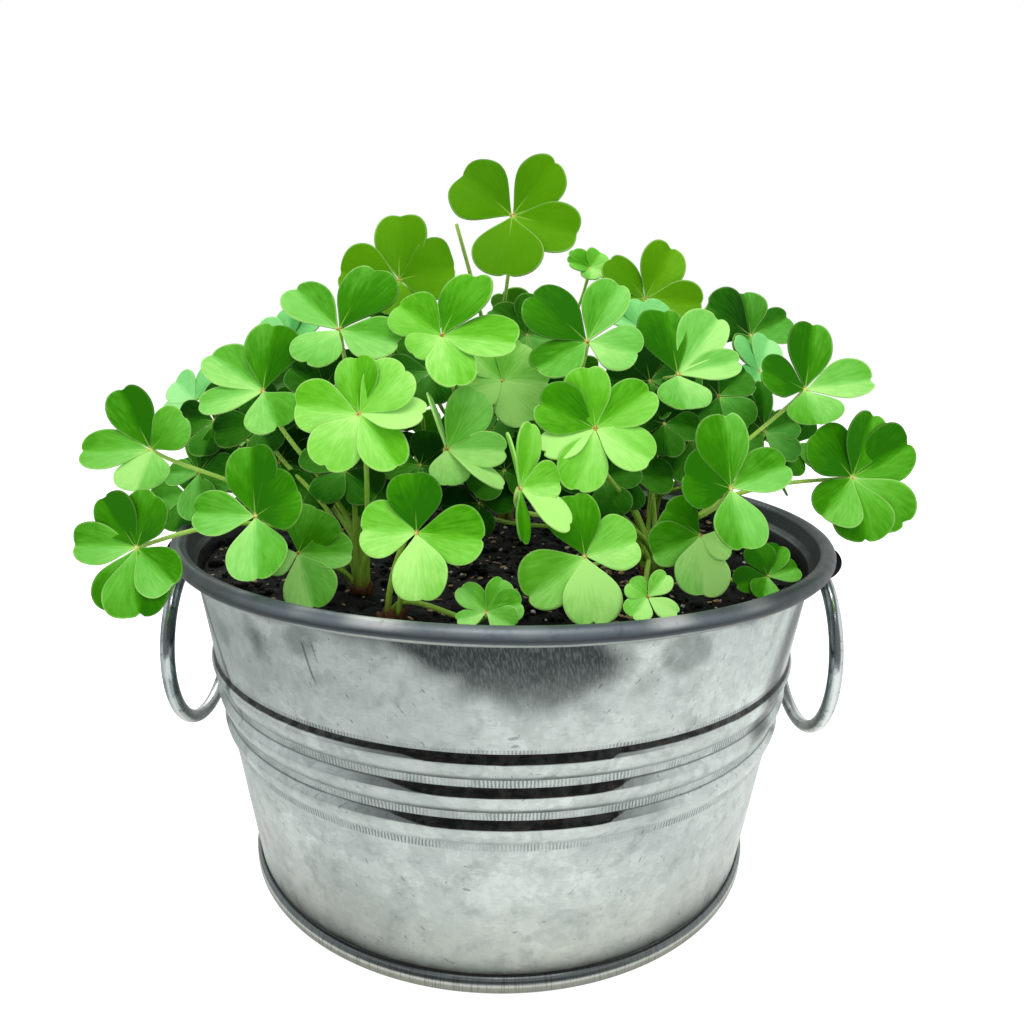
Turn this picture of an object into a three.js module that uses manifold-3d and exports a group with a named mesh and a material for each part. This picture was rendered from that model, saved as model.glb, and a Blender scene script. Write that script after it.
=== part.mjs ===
// Potted shamrock: a galvanised tub with two ring handles, filled with soil and planted with
// four- to six-leaved shamrock. Millimetres, +Z up, -Y is the front, origin on the tub's axis
// at the level that its foot stands on.
import * as THREE from "three";
import { mergeVertices } from "three/addons/utils/BufferGeometryUtils.js";
import Module from "manifold-3d";

const wasm = await Module();
wasm.setup();

// Tub
const rimRadius = 100;
const tubHeight = 105.6;
const beadRadius = 2.3; // rolled rim
const beadTurn = [-120, 180]; // where the bead's section starts and ends
const beadSteps = 6;
const outerTop = 100; // where the wall's outside runs into the bead
const innerTop = 98;
const wallAtFoot = 79; // outer radius of the cone at z = 0
const wallSlope = 0.15; // growth of the outer radius for each mm of height
const sheet = 1.2;
const roundSteps = 32;
const footRadius = 81;
const footHeight = 4.4;
const footRound = 0.8;
const footLip = 76.5; // inner radius of the seam that carries the bottom
const lipHeight = 2.6;
const ribCount = 3;
const ribStart = 46.6;
const ribPitch = 9.2;
const ribHeight = 1.1;
const ribSection = [[0, 0], [0.38, 0.85], [0.6, 0.9], [0.8, 0]]; // shares of pitch and height
const gap = 0.3; // between pieces that touch

// Ring handles and their ears
const ringRadius = 27.6; // to the middle of the wire
const wireRadius = 2.1;
const ringSteps = 24;
const wireSteps = 8;
const pivotX = 100;
const pivotZ = 93;
const earWidth = 7;
const earStrap = 1.8; // thickness of the strap above and below its eye
const earTurn = 125; // the strap leaves the eye this far round from its outermost point
const eyeSteps = 7;
const earHole = wireRadius + 0.6;
const earOuter = 6.4;
const earLow = 84;
const earHigh = 98.6;

// Soil
const soilEdge = 95;
const soilMiddle = 98;
const soilLump = 0.5;
const soilRings = [0.88, 0.64, 0.42, 0.2, 0]; // shares of the soil's radius
const soilSeed = 11;
const crownRadius = 5;
const crownLow = 86;
const crownHigh = 99;
const crownSides = 8;
const crownRoom = 0.45; // round a clump in its hole
const overSoil = 120; // a hole is cut up to here

// Plant
const bladeThickness = 0.8;
const stalkRadius = 1;
const stalkSteps = 4;
const stalkGap = 0.35; // from a stalk's tip to the back of its leaf
const footSpread = 1.6; // of the stalks' feet round their clump's middle
const footTurn = 137; // from one stalk's foot to the next
const footDepth = 3; // of the feet in their clump
const riseShare = 0.45; // a stalk leaves the soil upright for this share of its reach
const neckBack = 0.2; // and meets its leaf from behind and below, by these shares
const neckDrop = 0.18;
const hubRadius = 0.09; // as a share of the leaf's reach
const halfWidth = 0.45; // of a blade, as a share of its length, where its row gives none
const bladeFold = 0.16; // how far a blade's halves rise on each side of its midrib
const bladeCup = 0.24; // how far a blade rises from its hub
const bladeArch = 0.1; // how far its tip bends back again

const metal = { color: 0x9aa0a2, metalness: 0.9, roughness: 0.42 };
const darkMetal = { color: 0x4a4f52, metalness: 0.9, roughness: 0.4 };
const earth = { color: 0x1c1613, metalness: 0, roughness: 0.95 };
const stalkGreen = { color: 0x8fae4e, metalness: 0, roughness: 0.55 };
const tones = {
  fresh: { color: 0x63c131, metalness: 0, roughness: 0.55 },
  mid: { color: 0x3f9e2d, metalness: 0, roughness: 0.55 },
  deep: { color: 0x2c7a1c, metalness: 0, roughness: 0.6 },
  olive: { color: 0x4d8a10, metalness: 0, roughness: 0.55 },
  pale: { color: 0x7cc487, metalness: 0, roughness: 0.6 },
};

// Where each clump of stalks comes out of the soil
const crowns = {
  leftFront: [-37, -50],
  front: [-26, -71],
  rightFront: [42, -34],
  leftBack: [-56, 22],
  rightBack: [54, 38],
  back: [0, 26],
  backLeft: [-32, 58],
  backRight: [32, 58],
};
// These clumps are sprays, stalks and leaves in one piece.
const sprays = ["backLeft", "backRight"];

// One row a leaf: crown, hub, which way its face looks (turn from the front towards +X, lift
// above level), reach of its longest leaflet, tone, and its leaflets as [bearing, share of the
// reach, half width on the anticlockwise side, half width on the other, roll about its midrib].
// Bearings run anticlockwise from the leaf's right, and widths are shares of the leaflet's own
// length. Two more entries bend a stalk clear of its neighbours: a shift of its rise, and its
// neck from its tip.
const leaves = [
  // Front, low
  ["front", [-19, -78, 120], -4, 24, 16, "fresh",
    [[95, 0.85], [180, 0.8, 0.5, 0.55], [280, 1, 0.4, 0.4], [355, 1, 0.45, 0.4]]],
  ["rightFront", [19.5, -72, 113.5], 4, 24, 17.5, "fresh",
    [[100, 0.85, 0.5, 0.35], [15, 0.75, 0.6, 0.45], [275, 0.95, 0.45, 0.4], [215, 1, 0.35, 0.45]]],
  ["rightFront", [54, -66, 129], 12, 24, 18, "mid",
    [[95, 1, 0.45, 0.3], [165, 0.75, 0.55, 0.55], [20, 0.9, 0.4, 0.3], [270, 0.85, 0.5, 0.45]]],
  ["leftFront", [-58, -69, 121], -10, 24, 17.5, "mid",
    [[100, 1, 0.4, 0.4], [30, 0.75, 0.6, 0.6], [180, 0.9, 0.35, 0.35], [285, 0.9, 0.5, 0.45]],
    [-6, 12, 0], [3, 10, -6]],
  ["leftFront", [-50.5, -61, 110], -6, 22, 15.5, "mid",
    [[70, 0.8, 0.5, 0.7], [0, 0.95, 0.4, 0.25], [295, 1, 0.5, 0.4], [205, 0.55]]],
  ["rightFront", [50, -56, 115], 8, 22, 16, "mid",
    [[145, 0.75, 0.6, 0.5], [200, 0.95, 0.3, 0.45], [265, 1, 0.45, 0.5], [330, 0.55]]],
  ["front", [-3, -84, 103.5], 0, 45, 8.5, "mid",
    [[135, 1, 0.4, 0.4], [65, 1, 0.3, 0.45], [15, 1], [200, 0.85, 0.4, 0.25], [330, 0.9]]],
  ["rightFront", [34, -76, 105], 6, 45, 8, "fresh",
    [[140, 0.7, 0.65, 0.65], [45, 0.95, 0.35, 0.4], [325, 1, 0.25, 0.4], [230, 0.95]]],
  ["rightFront", [71, -46.5, 101.5], 10, 48, 12, "mid",
    [[195, 0.95, 0.3, 0.35], [100, 0.8], [55, 0.9, 0.45, 0.3], [10, 0.75], [240, 0.8]]],
  // Overhanging the rim
  ["leftFront", [-90, -62, 111], -8, 16, 17.5, "mid",
    [[125, 0.85, 0.35, 0.45], [65, 0.85, 0.45, 0.4], [180, 0.95, 0.3, 0.35], [255, 1, 0.35, 0.35],
     [325, 0.85, 0.4, 0.45], [285, 1]], [-14, 4, 2], [13, 7, 4]],
  ["rightFront", [95, -36, 127], 8, 16, 19, "mid",
    [[135, 0.9], [75, 0.95, 0.35, 0.35], [30, 1, 0.45, 0.4], [315, 1, 0.4, 0.35], [275, 0.95],
     [225, 0.8, 0.55, 0.4]], [8, -2, 4], [-16, 4, -3]],
  ["leftFront", [-97, -34, 131], -10, 34, 20.5, "mid",
    [[125, 1, 0.3, 0.3], [45, 0.65, 0.5, 0.55], [190, 0.9, 0.35, 0.35], [275, 0.65, 0.65, 0.6]],
    [-10, 6, -6], [12, 1, -8]],
  ["rightFront", [82, -30, 150], 10, 34, 20.5, "mid",
    [[75, 1, 0.35, 0.3], [160, 0.7, 0.5, 0.5], [5, 0.95, 0.35, 0.25], [275, 0.55, 0.75, 0.7]],
    [8, 0, 0], [-10, 0, -12]],
  // Front, high
  ["leftFront", [-34, -64, 145], -6, 28, 18.5, "fresh",
    [[100, 0.8, 0.35, 0.4], [45, 0.85], [0, 0.9, 0.35, 0.35, -45], [310, 1, 0.3, 0.3],
     [245, 0.85, 0.4, 0.4], [175, 0.85, 0.4, 0.4]]],
  ["rightFront", [22, -60, 142], 4, 28, 17.5, "fresh",
    [[95, 0.9, 0.45, 0.3], [155, 0.9, 0.4, 0.45], [205, 0.85, 0.35, 0.35, 45], [250, 1, 0.35, 0.35],
     [325, 0.9, 0.4, 0.4], [35, 1, 0.35, 0.35]]],
  ["leftFront", [-14, -57, 136], 20, 22, 17, "mid",
    [[60, 1, 0.3, 0.4], [105, 0.85, 0.35, 0.35, 60], [355, 0.9, 0.3, 0.3], [320, 1, 0.35, 0.35, -55],
     [265, 0.55, 0.6, 0.5]]],
  ["rightFront", [4, -75, 130], 36, 22, 15.5, "fresh",
    [[70, 1, 0.25, 0.25], [0, 0.7, 0.5, 0.35], [315, 0.95, 0.35, 0.35, -25], [255, 0.85, 0.35, 0.35, 50],
     [95, 0.85, 0.35, 0.35, 55]]],
  ["back", [-16, -47, 163], -6, 40, 20, "fresh",
    [[145, 0.75], [230, 0.5], [70, 1, 0.3, 0.4], [350, 1, 0.45, 0.35], [290, 1, 0.3, 0.3]]],
  ["back", [21, -41, 162], 6, 40, 20, "mid",
    [[140, 0.95, 0.5, 0.4], [60, 1, 0.35, 0.25], [335, 0.7, 0.5, 0.55], [215, 0.9, 0.4, 0.3]]],
  ["rightBack", [45, -40, 154], 10, 40, 22.5, "mid",
    [[95, 0.85, 0.5, 0.25], [50, 1, 0.35, 0.25], [10, 0.8, 0.25, 0.25], [265, 0.55, 0.6, 0.55]],
    [-8, 0, 16], [-1, 12, -3]],
  ["leftFront", [-44, -36, 164], -10, 40, 20.5, "mid",
    [[140, 1, 0.35, 0.3], [70, 1, 0.3, 0.55], [340, 1, 0.3, 0.35], [245, 0.7, 0.55, 0.55]]],
  ["leftFront", [-63, -42, 148], -12, 38, 21, "mid",
    [[150, 1, 0.3, 0.35], [90, 0.9, 0.35, 0.45], [200, 0.8, 0.35, 0.25], [305, 0.7, 0.55, 0.5]]],
  // Top
  ["back", [1, -14, 196], 0, 22, 20, "olive",
    [[145, 0.9, 0.6, 0.5], [50, 0.95, 0.35, 0.4], [340, 1, 0.35, 0.4], [265, 1, 0.5, 0.5]], [-10, 12, 0]],
  ["leftBack", [-31, -14, 178], -8, 28, 21, "olive",
    [[95, 1, 0.35, 0.4], [175, 0.85, 0.45, 0.5], [10, 0.8, 0.65, 0.6], [275, 0.6]]],
  ["rightBack", [44, 16, 175], 10, 26, 19.5, "olive",
    [[130, 0.9, 0.45, 0.3], [60, 1, 0.4, 0.4], [350, 0.95, 0.35, 0.45], [185, 0.85], [255, 0.85]]],
  ["back", [27, 28, 185], 20, 44, 9, "fresh", [[120, 1], [50, 1], [175, 0.95], [250, 0.8], [330, 0.8]]],
  ["rightBack", [80, 20, 164], 26, 26, 20, "deep",
    [[90, 0.75, 0.6, 0.45], [20, 0.9, 0.3, 0.45], [150, 1], [290, 0.65], [225, 0.65]]],
  // Behind the front leaves
  ["back", [6, -6, 163], 0, 34, 17, "deep", [[75, 0.85], [145, 0.8], [0, 0.85], [225, 0.9], [285, 0.9]]],
  ["front", [-1, -29, 151], 10, 34, 15.5, "fresh",
    [[60, 0.8], [295, 1], [350, 0.85], [135, 0.7], [210, 0.85]]],
  ["leftBack", [-89, -22, 122.5], -16, 30, 16.5, "deep",
    [[110, 0.9, 0.2, 0.25], [55, 1, 0.35, 0.35], [355, 0.85], [290, 0.9], [185, 0.6]]],
  ["rightBack", [75, -20, 137], 14, 30, 17, "deep",
    [[140, 1, 0.25, 0.35], [90, 0.9, 0.2, 0.2], [15, 0.65], [315, 0.7, 0.35, 0.45], [200, 0.65]]],
  ["leftBack", [-98, 2, 141], -36, 36, 14, "pale", [[70, 1], [155, 0.95], [310, 0.8], [225, 0.9]]],
  ["rightBack", [79.5, 6, 153], 36, 36, 14, "pale",
    [[125, 0.95], [50, 1], [210, 0.9], [320, 0.9]], [-6, -4, 0], [-9, 3, -14]],
  ["leftBack", [-68, 6, 160], -26, 38, 14.5, "pale",
    [[110, 0.9], [175, 1], [40, 0.9], [250, 0.9], [325, 0.8]]],
  ["back", [39, -6, 166], 10, 50, 13.5, "pale", [[95, 0.8], [30, 1], [165, 0.9], [240, 0.9], [310, 0.9]]],
  ["leftBack", [-66, -20, 126], -10, 34, 16, "deep",
    [[70, 0.85], [150, 0.75], [0, 0.95], [240, 0.85], [300, 1]]],
  ["rightBack", [54, -18, 134], 10, 34, 16, "deep",
    [[100, 0.8], [25, 0.75], [175, 0.85], [235, 1], [300, 0.85]]],
  // Sides
  ["leftBack", [-90, 19, 120], -84, 30, 20.5, "mid", [[155, 1], [270, 0.1], [150, 0.35], [240, 0.9]]],
  ["rightBack", [88, 18, 121], 80, 30, 14, "mid", [[65, 1], [70, 0.15], [280, 0.25], [270, 0.9]]],
  // Back half of the plant
  ["backLeft", [-84, 47, 131], -118, 40, 16, "mid",
    [[90, 1], [165, 0.9], [20, 0.9], [240, 0.95], [310, 0.95]]],
  ["backLeft", [-60, 64, 124], -140, 32, 15.5, "mid", [[95, 1], [10, 0.9], [185, 0.95], [275, 1]]],
  ["backLeft", [-30, 80, 120], -162, 30, 15, "fresh", [[60, 0.95], [145, 1], [235, 0.9], [325, 1]]],
  ["backLeft", [-70, 30, 149], -128, 48, 16, "fresh",
    [[85, 1], [155, 0.9], [15, 0.95], [230, 0.95], [300, 0.9]]],
  ["backLeft", [-44, 52, 146], -150, 44, 15.5, "mid", [[90, 1], [10, 0.95], [175, 1], [270, 0.95]]],
  ["backLeft", [-12, 60, 147], -172, 44, 16, "mid", [[120, 1], [40, 0.9], [200, 0.95], [300, 1]]],
  ["backLeft", [-34, 28, 165], -150, 58, 15, "fresh", [[80, 0.95], [0, 1], [165, 1], [260, 0.95]]],
  ["backRight", [86, 40, 134], 118, 40, 16, "mid",
    [[80, 0.95], [155, 1], [10, 0.95], [235, 0.9], [300, 1]]],
  ["backRight", [62, 64, 126], 142, 32, 15.5, "fresh", [[100, 1], [10, 0.9], [190, 0.95], [280, 0.95]]],
  ["backRight", [35, 80, 122], 160, 30, 15, "mid", [[75, 1], [160, 0.9], [245, 1], [345, 0.95]]],
  ["backRight", [3, 84.5, 118], 178, 28, 15, "fresh",
    [[90, 0.95], [20, 1], [160, 0.9], [235, 1], [305, 0.9]]],
  ["backRight", [54, 42, 150], 140, 46, 16, "fresh", [[80, 1], [150, 0.9], [5, 0.9], [225, 1], [295, 0.9]]],
  ["backRight", [20, 56, 149], 168, 44, 15.5, "mid", [[95, 0.95], [5, 1], [185, 0.9], [275, 1]]],
  ["backRight", [6, 32, 168], 172, 56, 15, "mid", [[60, 1], [145, 0.95], [230, 0.95], [325, 0.95]]],
];

const radians = THREE.MathUtils.degToRad;
const outerWall = (z) => wallAtFoot + wallSlope * z;
const innerWall = (z) => outerWall(z) - sheet;

// The same small numbers on every run, for the soil's lumps.
function seeded(seed) {
  let state = seed;
  return () => {
    state = (state * 16807) % 2147483647;
    return state / 2147483647;
  };
}

function bare(geometry) {
  const clean = geometry.clone();
  clean.deleteAttribute("normal");
  clean.deleteAttribute("uv");
  return mergeVertices(clean, 1e-4);
}

function toSolid(geometry) {
  const g = bare(geometry);
  return new wasm.Manifold(
    new wasm.Mesh({
      numProp: 3,
      vertProperties: new Float32Array(g.attributes.position.array),
      triVerts: new Uint32Array(g.index.array),
    }),
  );
}

function toGeometry(solid) {
  const mesh = solid.getMesh();
  const g = new THREE.BufferGeometry();
  g.setAttribute("position", new THREE.BufferAttribute(mesh.vertProperties, 3));
  g.setIndex(new THREE.BufferAttribute(mesh.triVerts, 1));
  g.computeVertexNormals();
  return g;
}

function piece(name, geometry, finish) {
  const mesh = new THREE.Mesh(geometry, new THREE.MeshStandardMaterial(finish));
  mesh.name = name;
  return mesh;
}

function turned(profile) {
  const points = profile.map(([r, z]) => new THREE.Vector2(r, z));
  return new THREE.LatheGeometry(points, roundSteps).rotateX(Math.PI / 2);
}

// The wall is one sheet: foot seam, cone, three ribs pressed outwards and a rolled rim.
function tubWall() {
  const beadX = rimRadius - beadRadius;
  const beadZ = tubHeight - beadRadius;
  const foot = [
    [footLip, lipHeight],
    [footLip, 0],
    [footRadius - footRound, 0],
    [footRadius, footRound],
    [footRadius, footHeight - footRound],
    [outerWall(footHeight), footHeight],
  ];
  const ribs = [];
  for (let i = 0; i < ribCount; i += 1) {
    for (const [share, rise] of ribSection) {
      const z = ribStart + ribPitch * (i + share);
      ribs.push([outerWall(z) + ribHeight * rise, z]);
    }
  }
  const bead = [];
  for (let i = 0; i <= beadSteps; i += 1) {
    const angle = radians(THREE.MathUtils.lerp(...beadTurn, i / beadSteps));
    bead.push([beadX + beadRadius * Math.cos(angle), beadZ + beadRadius * Math.sin(angle)]);
  }
  const inside = [
    [innerWall(innerTop), innerTop],
    [innerWall(lipHeight), lipHeight],
  ];
  const profile = [...foot, ...ribs, [outerWall(outerTop), outerTop], ...bead, ...inside];
  profile.push(profile[0]);
  return piece("tub_wall", turned(profile), metal);
}

function tubBottom() {
  const low = lipHeight + gap;
  const radius = innerWall(low) - gap;
  const profile = [[0, low], [radius, low], [radius, low + sheet], [0, low + sheet]];
  return piece("tub_bottom", turned(profile), metal);
}

// The ear is a strap on the wall, closed round the ring's wire.
function ear(name, side) {
  const outline = new THREE.Shape();
  const seat = (z) => outerWall(z) + gap;
  outline.moveTo(seat(earLow), earLow);
  outline.lineTo(seat(earLow) + earStrap, earLow);
  for (let i = 0; i <= eyeSteps; i += 1) {
    const angle = radians(THREE.MathUtils.lerp(-earTurn, earTurn, i / eyeSteps));
    outline.lineTo(pivotX + earOuter * Math.cos(angle), pivotZ + earOuter * Math.sin(angle));
  }
  outline.lineTo(seat(earHigh) + earStrap, earHigh);
  outline.lineTo(seat(earHigh), earHigh);
  const eye = new THREE.Path();
  eye.absarc(pivotX, pivotZ, earHole, 0, 2 * Math.PI, true);
  outline.holes.push(eye);
  const strap = new THREE.ExtrudeGeometry(outline, {
    depth: earWidth,
    bevelEnabled: false,
    curveSegments: eyeSteps,
  });
  strap.translate(0, 0, -earWidth / 2);
  strap.rotateX(Math.PI / 2);
  const mesh = piece(name, strap, darkMetal);
  mesh.rotation.z = side > 0 ? 0 : Math.PI;
  return mesh;
}

function ring(name, side) {
  const wire = new THREE.TorusGeometry(ringRadius, wireRadius, wireSteps, ringSteps);
  const mesh = piece(name, wire, metal);
  mesh.rotation.y = Math.PI / 2;
  mesh.position.set(side * pivotX, 0, pivotZ - ringRadius);
  return mesh;
}

function collar(x, y, radius, low, high, top) {
  const g = new THREE.CylinderGeometry(top, radius, high - low, crownSides).rotateX(Math.PI / 2);
  return toSolid(g.translate(x, y, (low + high) / 2));
}

// The soil fills the tub, a little mounded and lumpy, with one plain hole for each clump.
function soil() {
  const random = seeded(soilSeed);
  const low = lipHeight + gap + sheet + gap;
  const side = (z) => innerWall(z) - gap;
  const profile = [[0, low], [side(low), low], [side(soilEdge), soilEdge]];
  for (const share of soilRings) {
    const rise = (soilMiddle - soilEdge) * Math.cos((share * Math.PI) / 2);
    profile.push([share * side(soilEdge), soilEdge + rise]);
  }
  const g = bare(turned(profile));
  const at = g.attributes.position;
  for (let i = 0; i < at.count; i += 1) {
    const reach = Math.hypot(at.getX(i), at.getY(i));
    const lump = (random() - 0.5) * 2 * soilLump;
    if (at.getZ(i) > soilEdge + 0.1 && reach > 1) at.setZ(i, at.getZ(i) + lump);
  }
  let solid = toSolid(g);
  const room = crownRadius + crownRoom;
  for (const [x, y] of Object.values(crowns)) {
    solid = solid.subtract(collar(x, y, room, crownLow - gap, overSoil, room));
  }
  return piece("soil", toGeometry(solid), earth);
}

// One half of a leaflet's outline, from the hub to the notch, for a leaflet of length 1 and
// half width 1: a wedge that swells to the shoulder, then the round lobe beside a shallow notch.
function halfOutline(lobeSteps) {
  const v = (x, y) => new THREE.Vector2(x, y);
  const side = new THREE.CubicBezierCurve(v(hubRadius, 0.1), v(0.3, 0.46), v(0.4, 1), v(0.62, 1));
  const lobe = new THREE.CubicBezierCurve(v(0.62, 1), v(0.84, 1), v(1.03, 0.6), v(0.96, 0));
  return [...side.getPoints(2), ...lobe.getPoints(lobeSteps).slice(1)];
}

// A leaf as one closed blade: leaflets round a hub, cupped, each folded along its midrib.
// Local x is the leaf's right, y its top and z the way its face looks.
function leafGeometry(reach, leaflets, lobeSteps) {
  const sorted = leaflets
    .map(([bearing, share, left = halfWidth, right = halfWidth, roll = 0]) => {
      return { bearing, share, widths: { 1: left, [-1]: right }, roll };
    })
    .sort((a, b) => a.bearing - b.bearing);
  const count = sorted.length;
  // Neighbours share the angle between them by their widths.
  const between = sorted.map((leaflet, i) => {
    const next = sorted[(i + 1) % count];
    const apart = (next.bearing - leaflet.bearing + 360) % 360;
    const part = leaflet.widths[1] / (leaflet.widths[1] + next.widths[-1]);
    return { own: apart * part, next: apart * (1 - part) };
  });
  const points = [];
  const faces = [];
  const half = bladeThickness / 2;
  // Each place on the blade is two points, the face above and the back below.
  const place = (x, y, z, steep = 1) => {
    points.push(x, y, z + half * steep, x, y, z - half * steep);
    return points.length / 6 - 1;
  };
  const face = (a, b, c) => {
    faces.push(2 * a, 2 * b, 2 * c, 2 * a + 1, 2 * c + 1, 2 * b + 1);
  };
  const wall = (a, b) => {
    faces.push(2 * a, 2 * a + 1, 2 * b + 1, 2 * a, 2 * b + 1, 2 * b);
  };
  const hub = place(0, 0, 0);
  const corners = sorted.map((leaflet, i) => {
    const angle = radians(leaflet.bearing + between[i].own);
    const r = hubRadius * reach;
    return place(r * Math.cos(angle), r * Math.sin(angle), 0);
  });
  const outline = halfOutline(lobeSteps);
  sorted.forEach((leaflet, i) => {
    const length = reach * leaflet.share;
    const angle = radians(leaflet.bearing);
    const roll = radians(leaflet.roll);
    const put = (u, v) => {
      const across = v * Math.cos(roll);
      const z = (bladeCup - bladeArch * u) * u + bladeFold * Math.abs(v) + v * Math.sin(roll);
      const x = u * Math.cos(angle) - across * Math.sin(angle);
      const y = u * Math.sin(angle) + across * Math.cos(angle);
      return place(x * length, y * length, z * length, 1 / Math.cos(roll));
    };
    const middle = [put(hubRadius * 0.8, 0)];
    for (const u of [0.5, 0.95]) middle.push(put(u, 0));
    const notch = middle[middle.length - 1];
    for (const side of [1, -1]) {
      const before = between[(i + count - 1) % count];
      const room = radians((side > 0 ? between[i].own : before.next) - 1);
      const corner = corners[side > 0 ? i : (i + count - 1) % count];
      const edge = [corner];
      for (const p of outline.slice(1, -1)) {
        const wide = p.y * leaflet.widths[side];
        const far = Math.hypot(p.x, wide);
        const spread = Math.min(Math.atan2(wide, p.x), room);
        edge.push(put(far * Math.cos(spread), side * far * Math.sin(spread)));
      }
      edge.push(notch);
      const add = (a, b, c) => (side > 0 ? face(a, b, c) : face(a, c, b));
      add(hub, middle[0], corner);
      let e = 0;
      let m = 0;
      while (e < edge.length - 2 || m < middle.length - 2) {
        const ahead = (e + 1) / (edge.length - 1) <= (m + 1) / (middle.length - 1);
        if ((ahead && e < edge.length - 2) || m === middle.length - 2) {
          add(middle[m], edge[e + 1], edge[e]);
          e += 1;
        } else {
          add(middle[m], middle[m + 1], edge[e]);
          m += 1;
        }
      }
      add(middle[m], notch, edge[e]);
      for (let k = 0; k < edge.length - 1; k += 1) {
        if (side > 0) wall(edge[k + 1], edge[k]);
        else wall(edge[k], edge[k + 1]);
      }
    }
  });
  const g = new THREE.BufferGeometry();
  g.setAttribute("position", new THREE.Float32BufferAttribute(points, 3));
  g.setIndex(faces);
  g.computeVertexNormals();
  return g;
}

function facing(turn, lift) {
  const t = radians(turn);
  const l = radians(lift);
  return new THREE.Vector3(Math.sin(t) * Math.cos(l), -Math.cos(t) * Math.cos(l), Math.sin(l));
}

// Leaves at the back or in the shade of others have outlines with fewer points.
function leaf(name, [crown, hub, turn, lift, reach, tone, leaflets]) {
  const hidden = sprays.includes(crown) || tone === "deep" || tone === "pale";
  const mesh = piece(name, leafGeometry(reach, leaflets, hidden ? 2 : 3), tones[tone]);
  mesh.position.set(...hub);
  mesh.rotation.set(Math.PI / 2 - radians(lift), 0, radians(turn), "ZXY");
  return mesh;
}

// A stalk rises from its clump and meets the back of its leaf square on.
function stalk([crown, hub, turn, lift, , , , bow = [0, 0, 0], bend], order) {
  const [x, y] = crowns[crown];
  const face = facing(turn, lift);
  const spread = radians(order * footTurn);
  const foot = new THREE.Vector3(Math.cos(spread), Math.sin(spread), 0).multiplyScalar(footSpread);
  foot.add(new THREE.Vector3(x, y, crownHigh - footDepth));
  const reach = foot.distanceTo(new THREE.Vector3(...hub));
  const back = new THREE.Vector3(0, 0, -neckDrop * reach).addScaledVector(face, -neckBack * reach);
  if (bend) back.set(...bend);
  const slant = stalkRadius * Math.sin(back.angleTo(face));
  const tip = new THREE.Vector3(...hub);
  if (!sprays.includes(crown)) tip.addScaledVector(face, -(bladeThickness / 2 + stalkGap + slant));
  const rise = new THREE.Vector3(0, 0, riseShare * reach).add(new THREE.Vector3(...bow)).add(foot);
  const neck = tip.clone().add(back);
  const path = new THREE.CubicBezierCurve3(foot, rise, neck, tip);
  const section = new THREE.Shape(
    [0, 1, 2].map((i) => {
      const angle = (i * 2 * Math.PI) / 3;
      return new THREE.Vector2(stalkRadius * Math.cos(angle), stalkRadius * Math.sin(angle));
    }),
  );
  return toSolid(new THREE.ExtrudeGeometry(section, { steps: stalkSteps, extrudePath: path }));
}

function clump(crown) {
  const [x, y] = crowns[crown];
  let solid = collar(x, y, crownRadius, crownLow, crownHigh, crownRadius * 0.8);
  leaves.forEach((row, order) => {
    if (row[0] !== crown) return;
    solid = solid.add(stalk(row, order));
    if (!sprays.includes(crown)) return;
    const blade = leaf("", row);
    blade.updateMatrixWorld();
    solid = solid.add(toSolid(blade.geometry.applyMatrix4(blade.matrixWorld)));
  });
  // Any pocket closed in between the feet of crowded stalks is filled.
  [solid] = solid.decompose().filter((body) => body.volume() > 0);
  const label = crown.replace(/[A-Z]/g, (letter) => "_" + letter.toLowerCase());
  if (sprays.includes(crown)) return piece("spray_" + label, toGeometry(solid), tones.mid);
  return piece("stalks_" + label, toGeometry(solid), stalkGreen);
}

const plant = new THREE.Group();
for (const crown of Object.keys(crowns)) plant.add(clump(crown));
leaves.forEach((row, i) => {
  if (!sprays.includes(row[0])) plant.add(leaf("leaf_" + String(i + 1).padStart(2, "0"), row));
});

const tub = new THREE.Group();
tub.add(tubWall(), tubBottom(), soil());
for (const [name, side] of [["left", -1], ["right", 1]]) {
  tub.add(ear("ear_" + name, side), ring("ring_" + name, side));
}

const shamrock = new THREE.Group();
shamrock.add(tub, plant);
export default shamrock;
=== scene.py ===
import math
import random
from functools import partial, reduce
from types import SimpleNamespace

import bmesh
import bpy
from mathutils import Matrix, Vector, noise


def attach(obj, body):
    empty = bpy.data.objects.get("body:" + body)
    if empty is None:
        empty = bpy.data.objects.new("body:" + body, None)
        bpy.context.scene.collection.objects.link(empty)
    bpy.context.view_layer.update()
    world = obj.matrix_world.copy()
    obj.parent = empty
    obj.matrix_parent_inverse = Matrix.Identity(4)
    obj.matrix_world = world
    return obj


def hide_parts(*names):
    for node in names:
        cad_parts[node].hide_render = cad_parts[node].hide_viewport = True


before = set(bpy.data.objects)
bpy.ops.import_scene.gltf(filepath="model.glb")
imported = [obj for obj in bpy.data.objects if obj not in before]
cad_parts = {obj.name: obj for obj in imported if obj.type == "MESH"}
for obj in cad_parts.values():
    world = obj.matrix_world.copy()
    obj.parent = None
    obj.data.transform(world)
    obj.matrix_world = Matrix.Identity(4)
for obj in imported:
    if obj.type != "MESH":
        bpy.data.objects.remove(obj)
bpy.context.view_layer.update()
print("frame loaded:", len(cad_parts), "nodes")

mm = 0.001


# Shader helpers: each adds a node to the tree at hand and returns that node's output
atHand = {"tree": None}


def feed(socket, value):
    if isinstance(value, bpy.types.NodeSocket):
        atHand["tree"].links.new(value, socket)
    else:
        socket.default_value = value


def addNode(kind, inputs=None, **settings):
    made = atHand["tree"].nodes.new(kind)
    for key, value in settings.items():
        setattr(made, key, value)
    for socket, value in (inputs or {}).items():
        feed(made.inputs[socket], value)
    return made


def calc(operation, *values):
    return addNode("ShaderNodeMath", dict(enumerate(values)), operation=operation).outputs[0]


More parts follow.
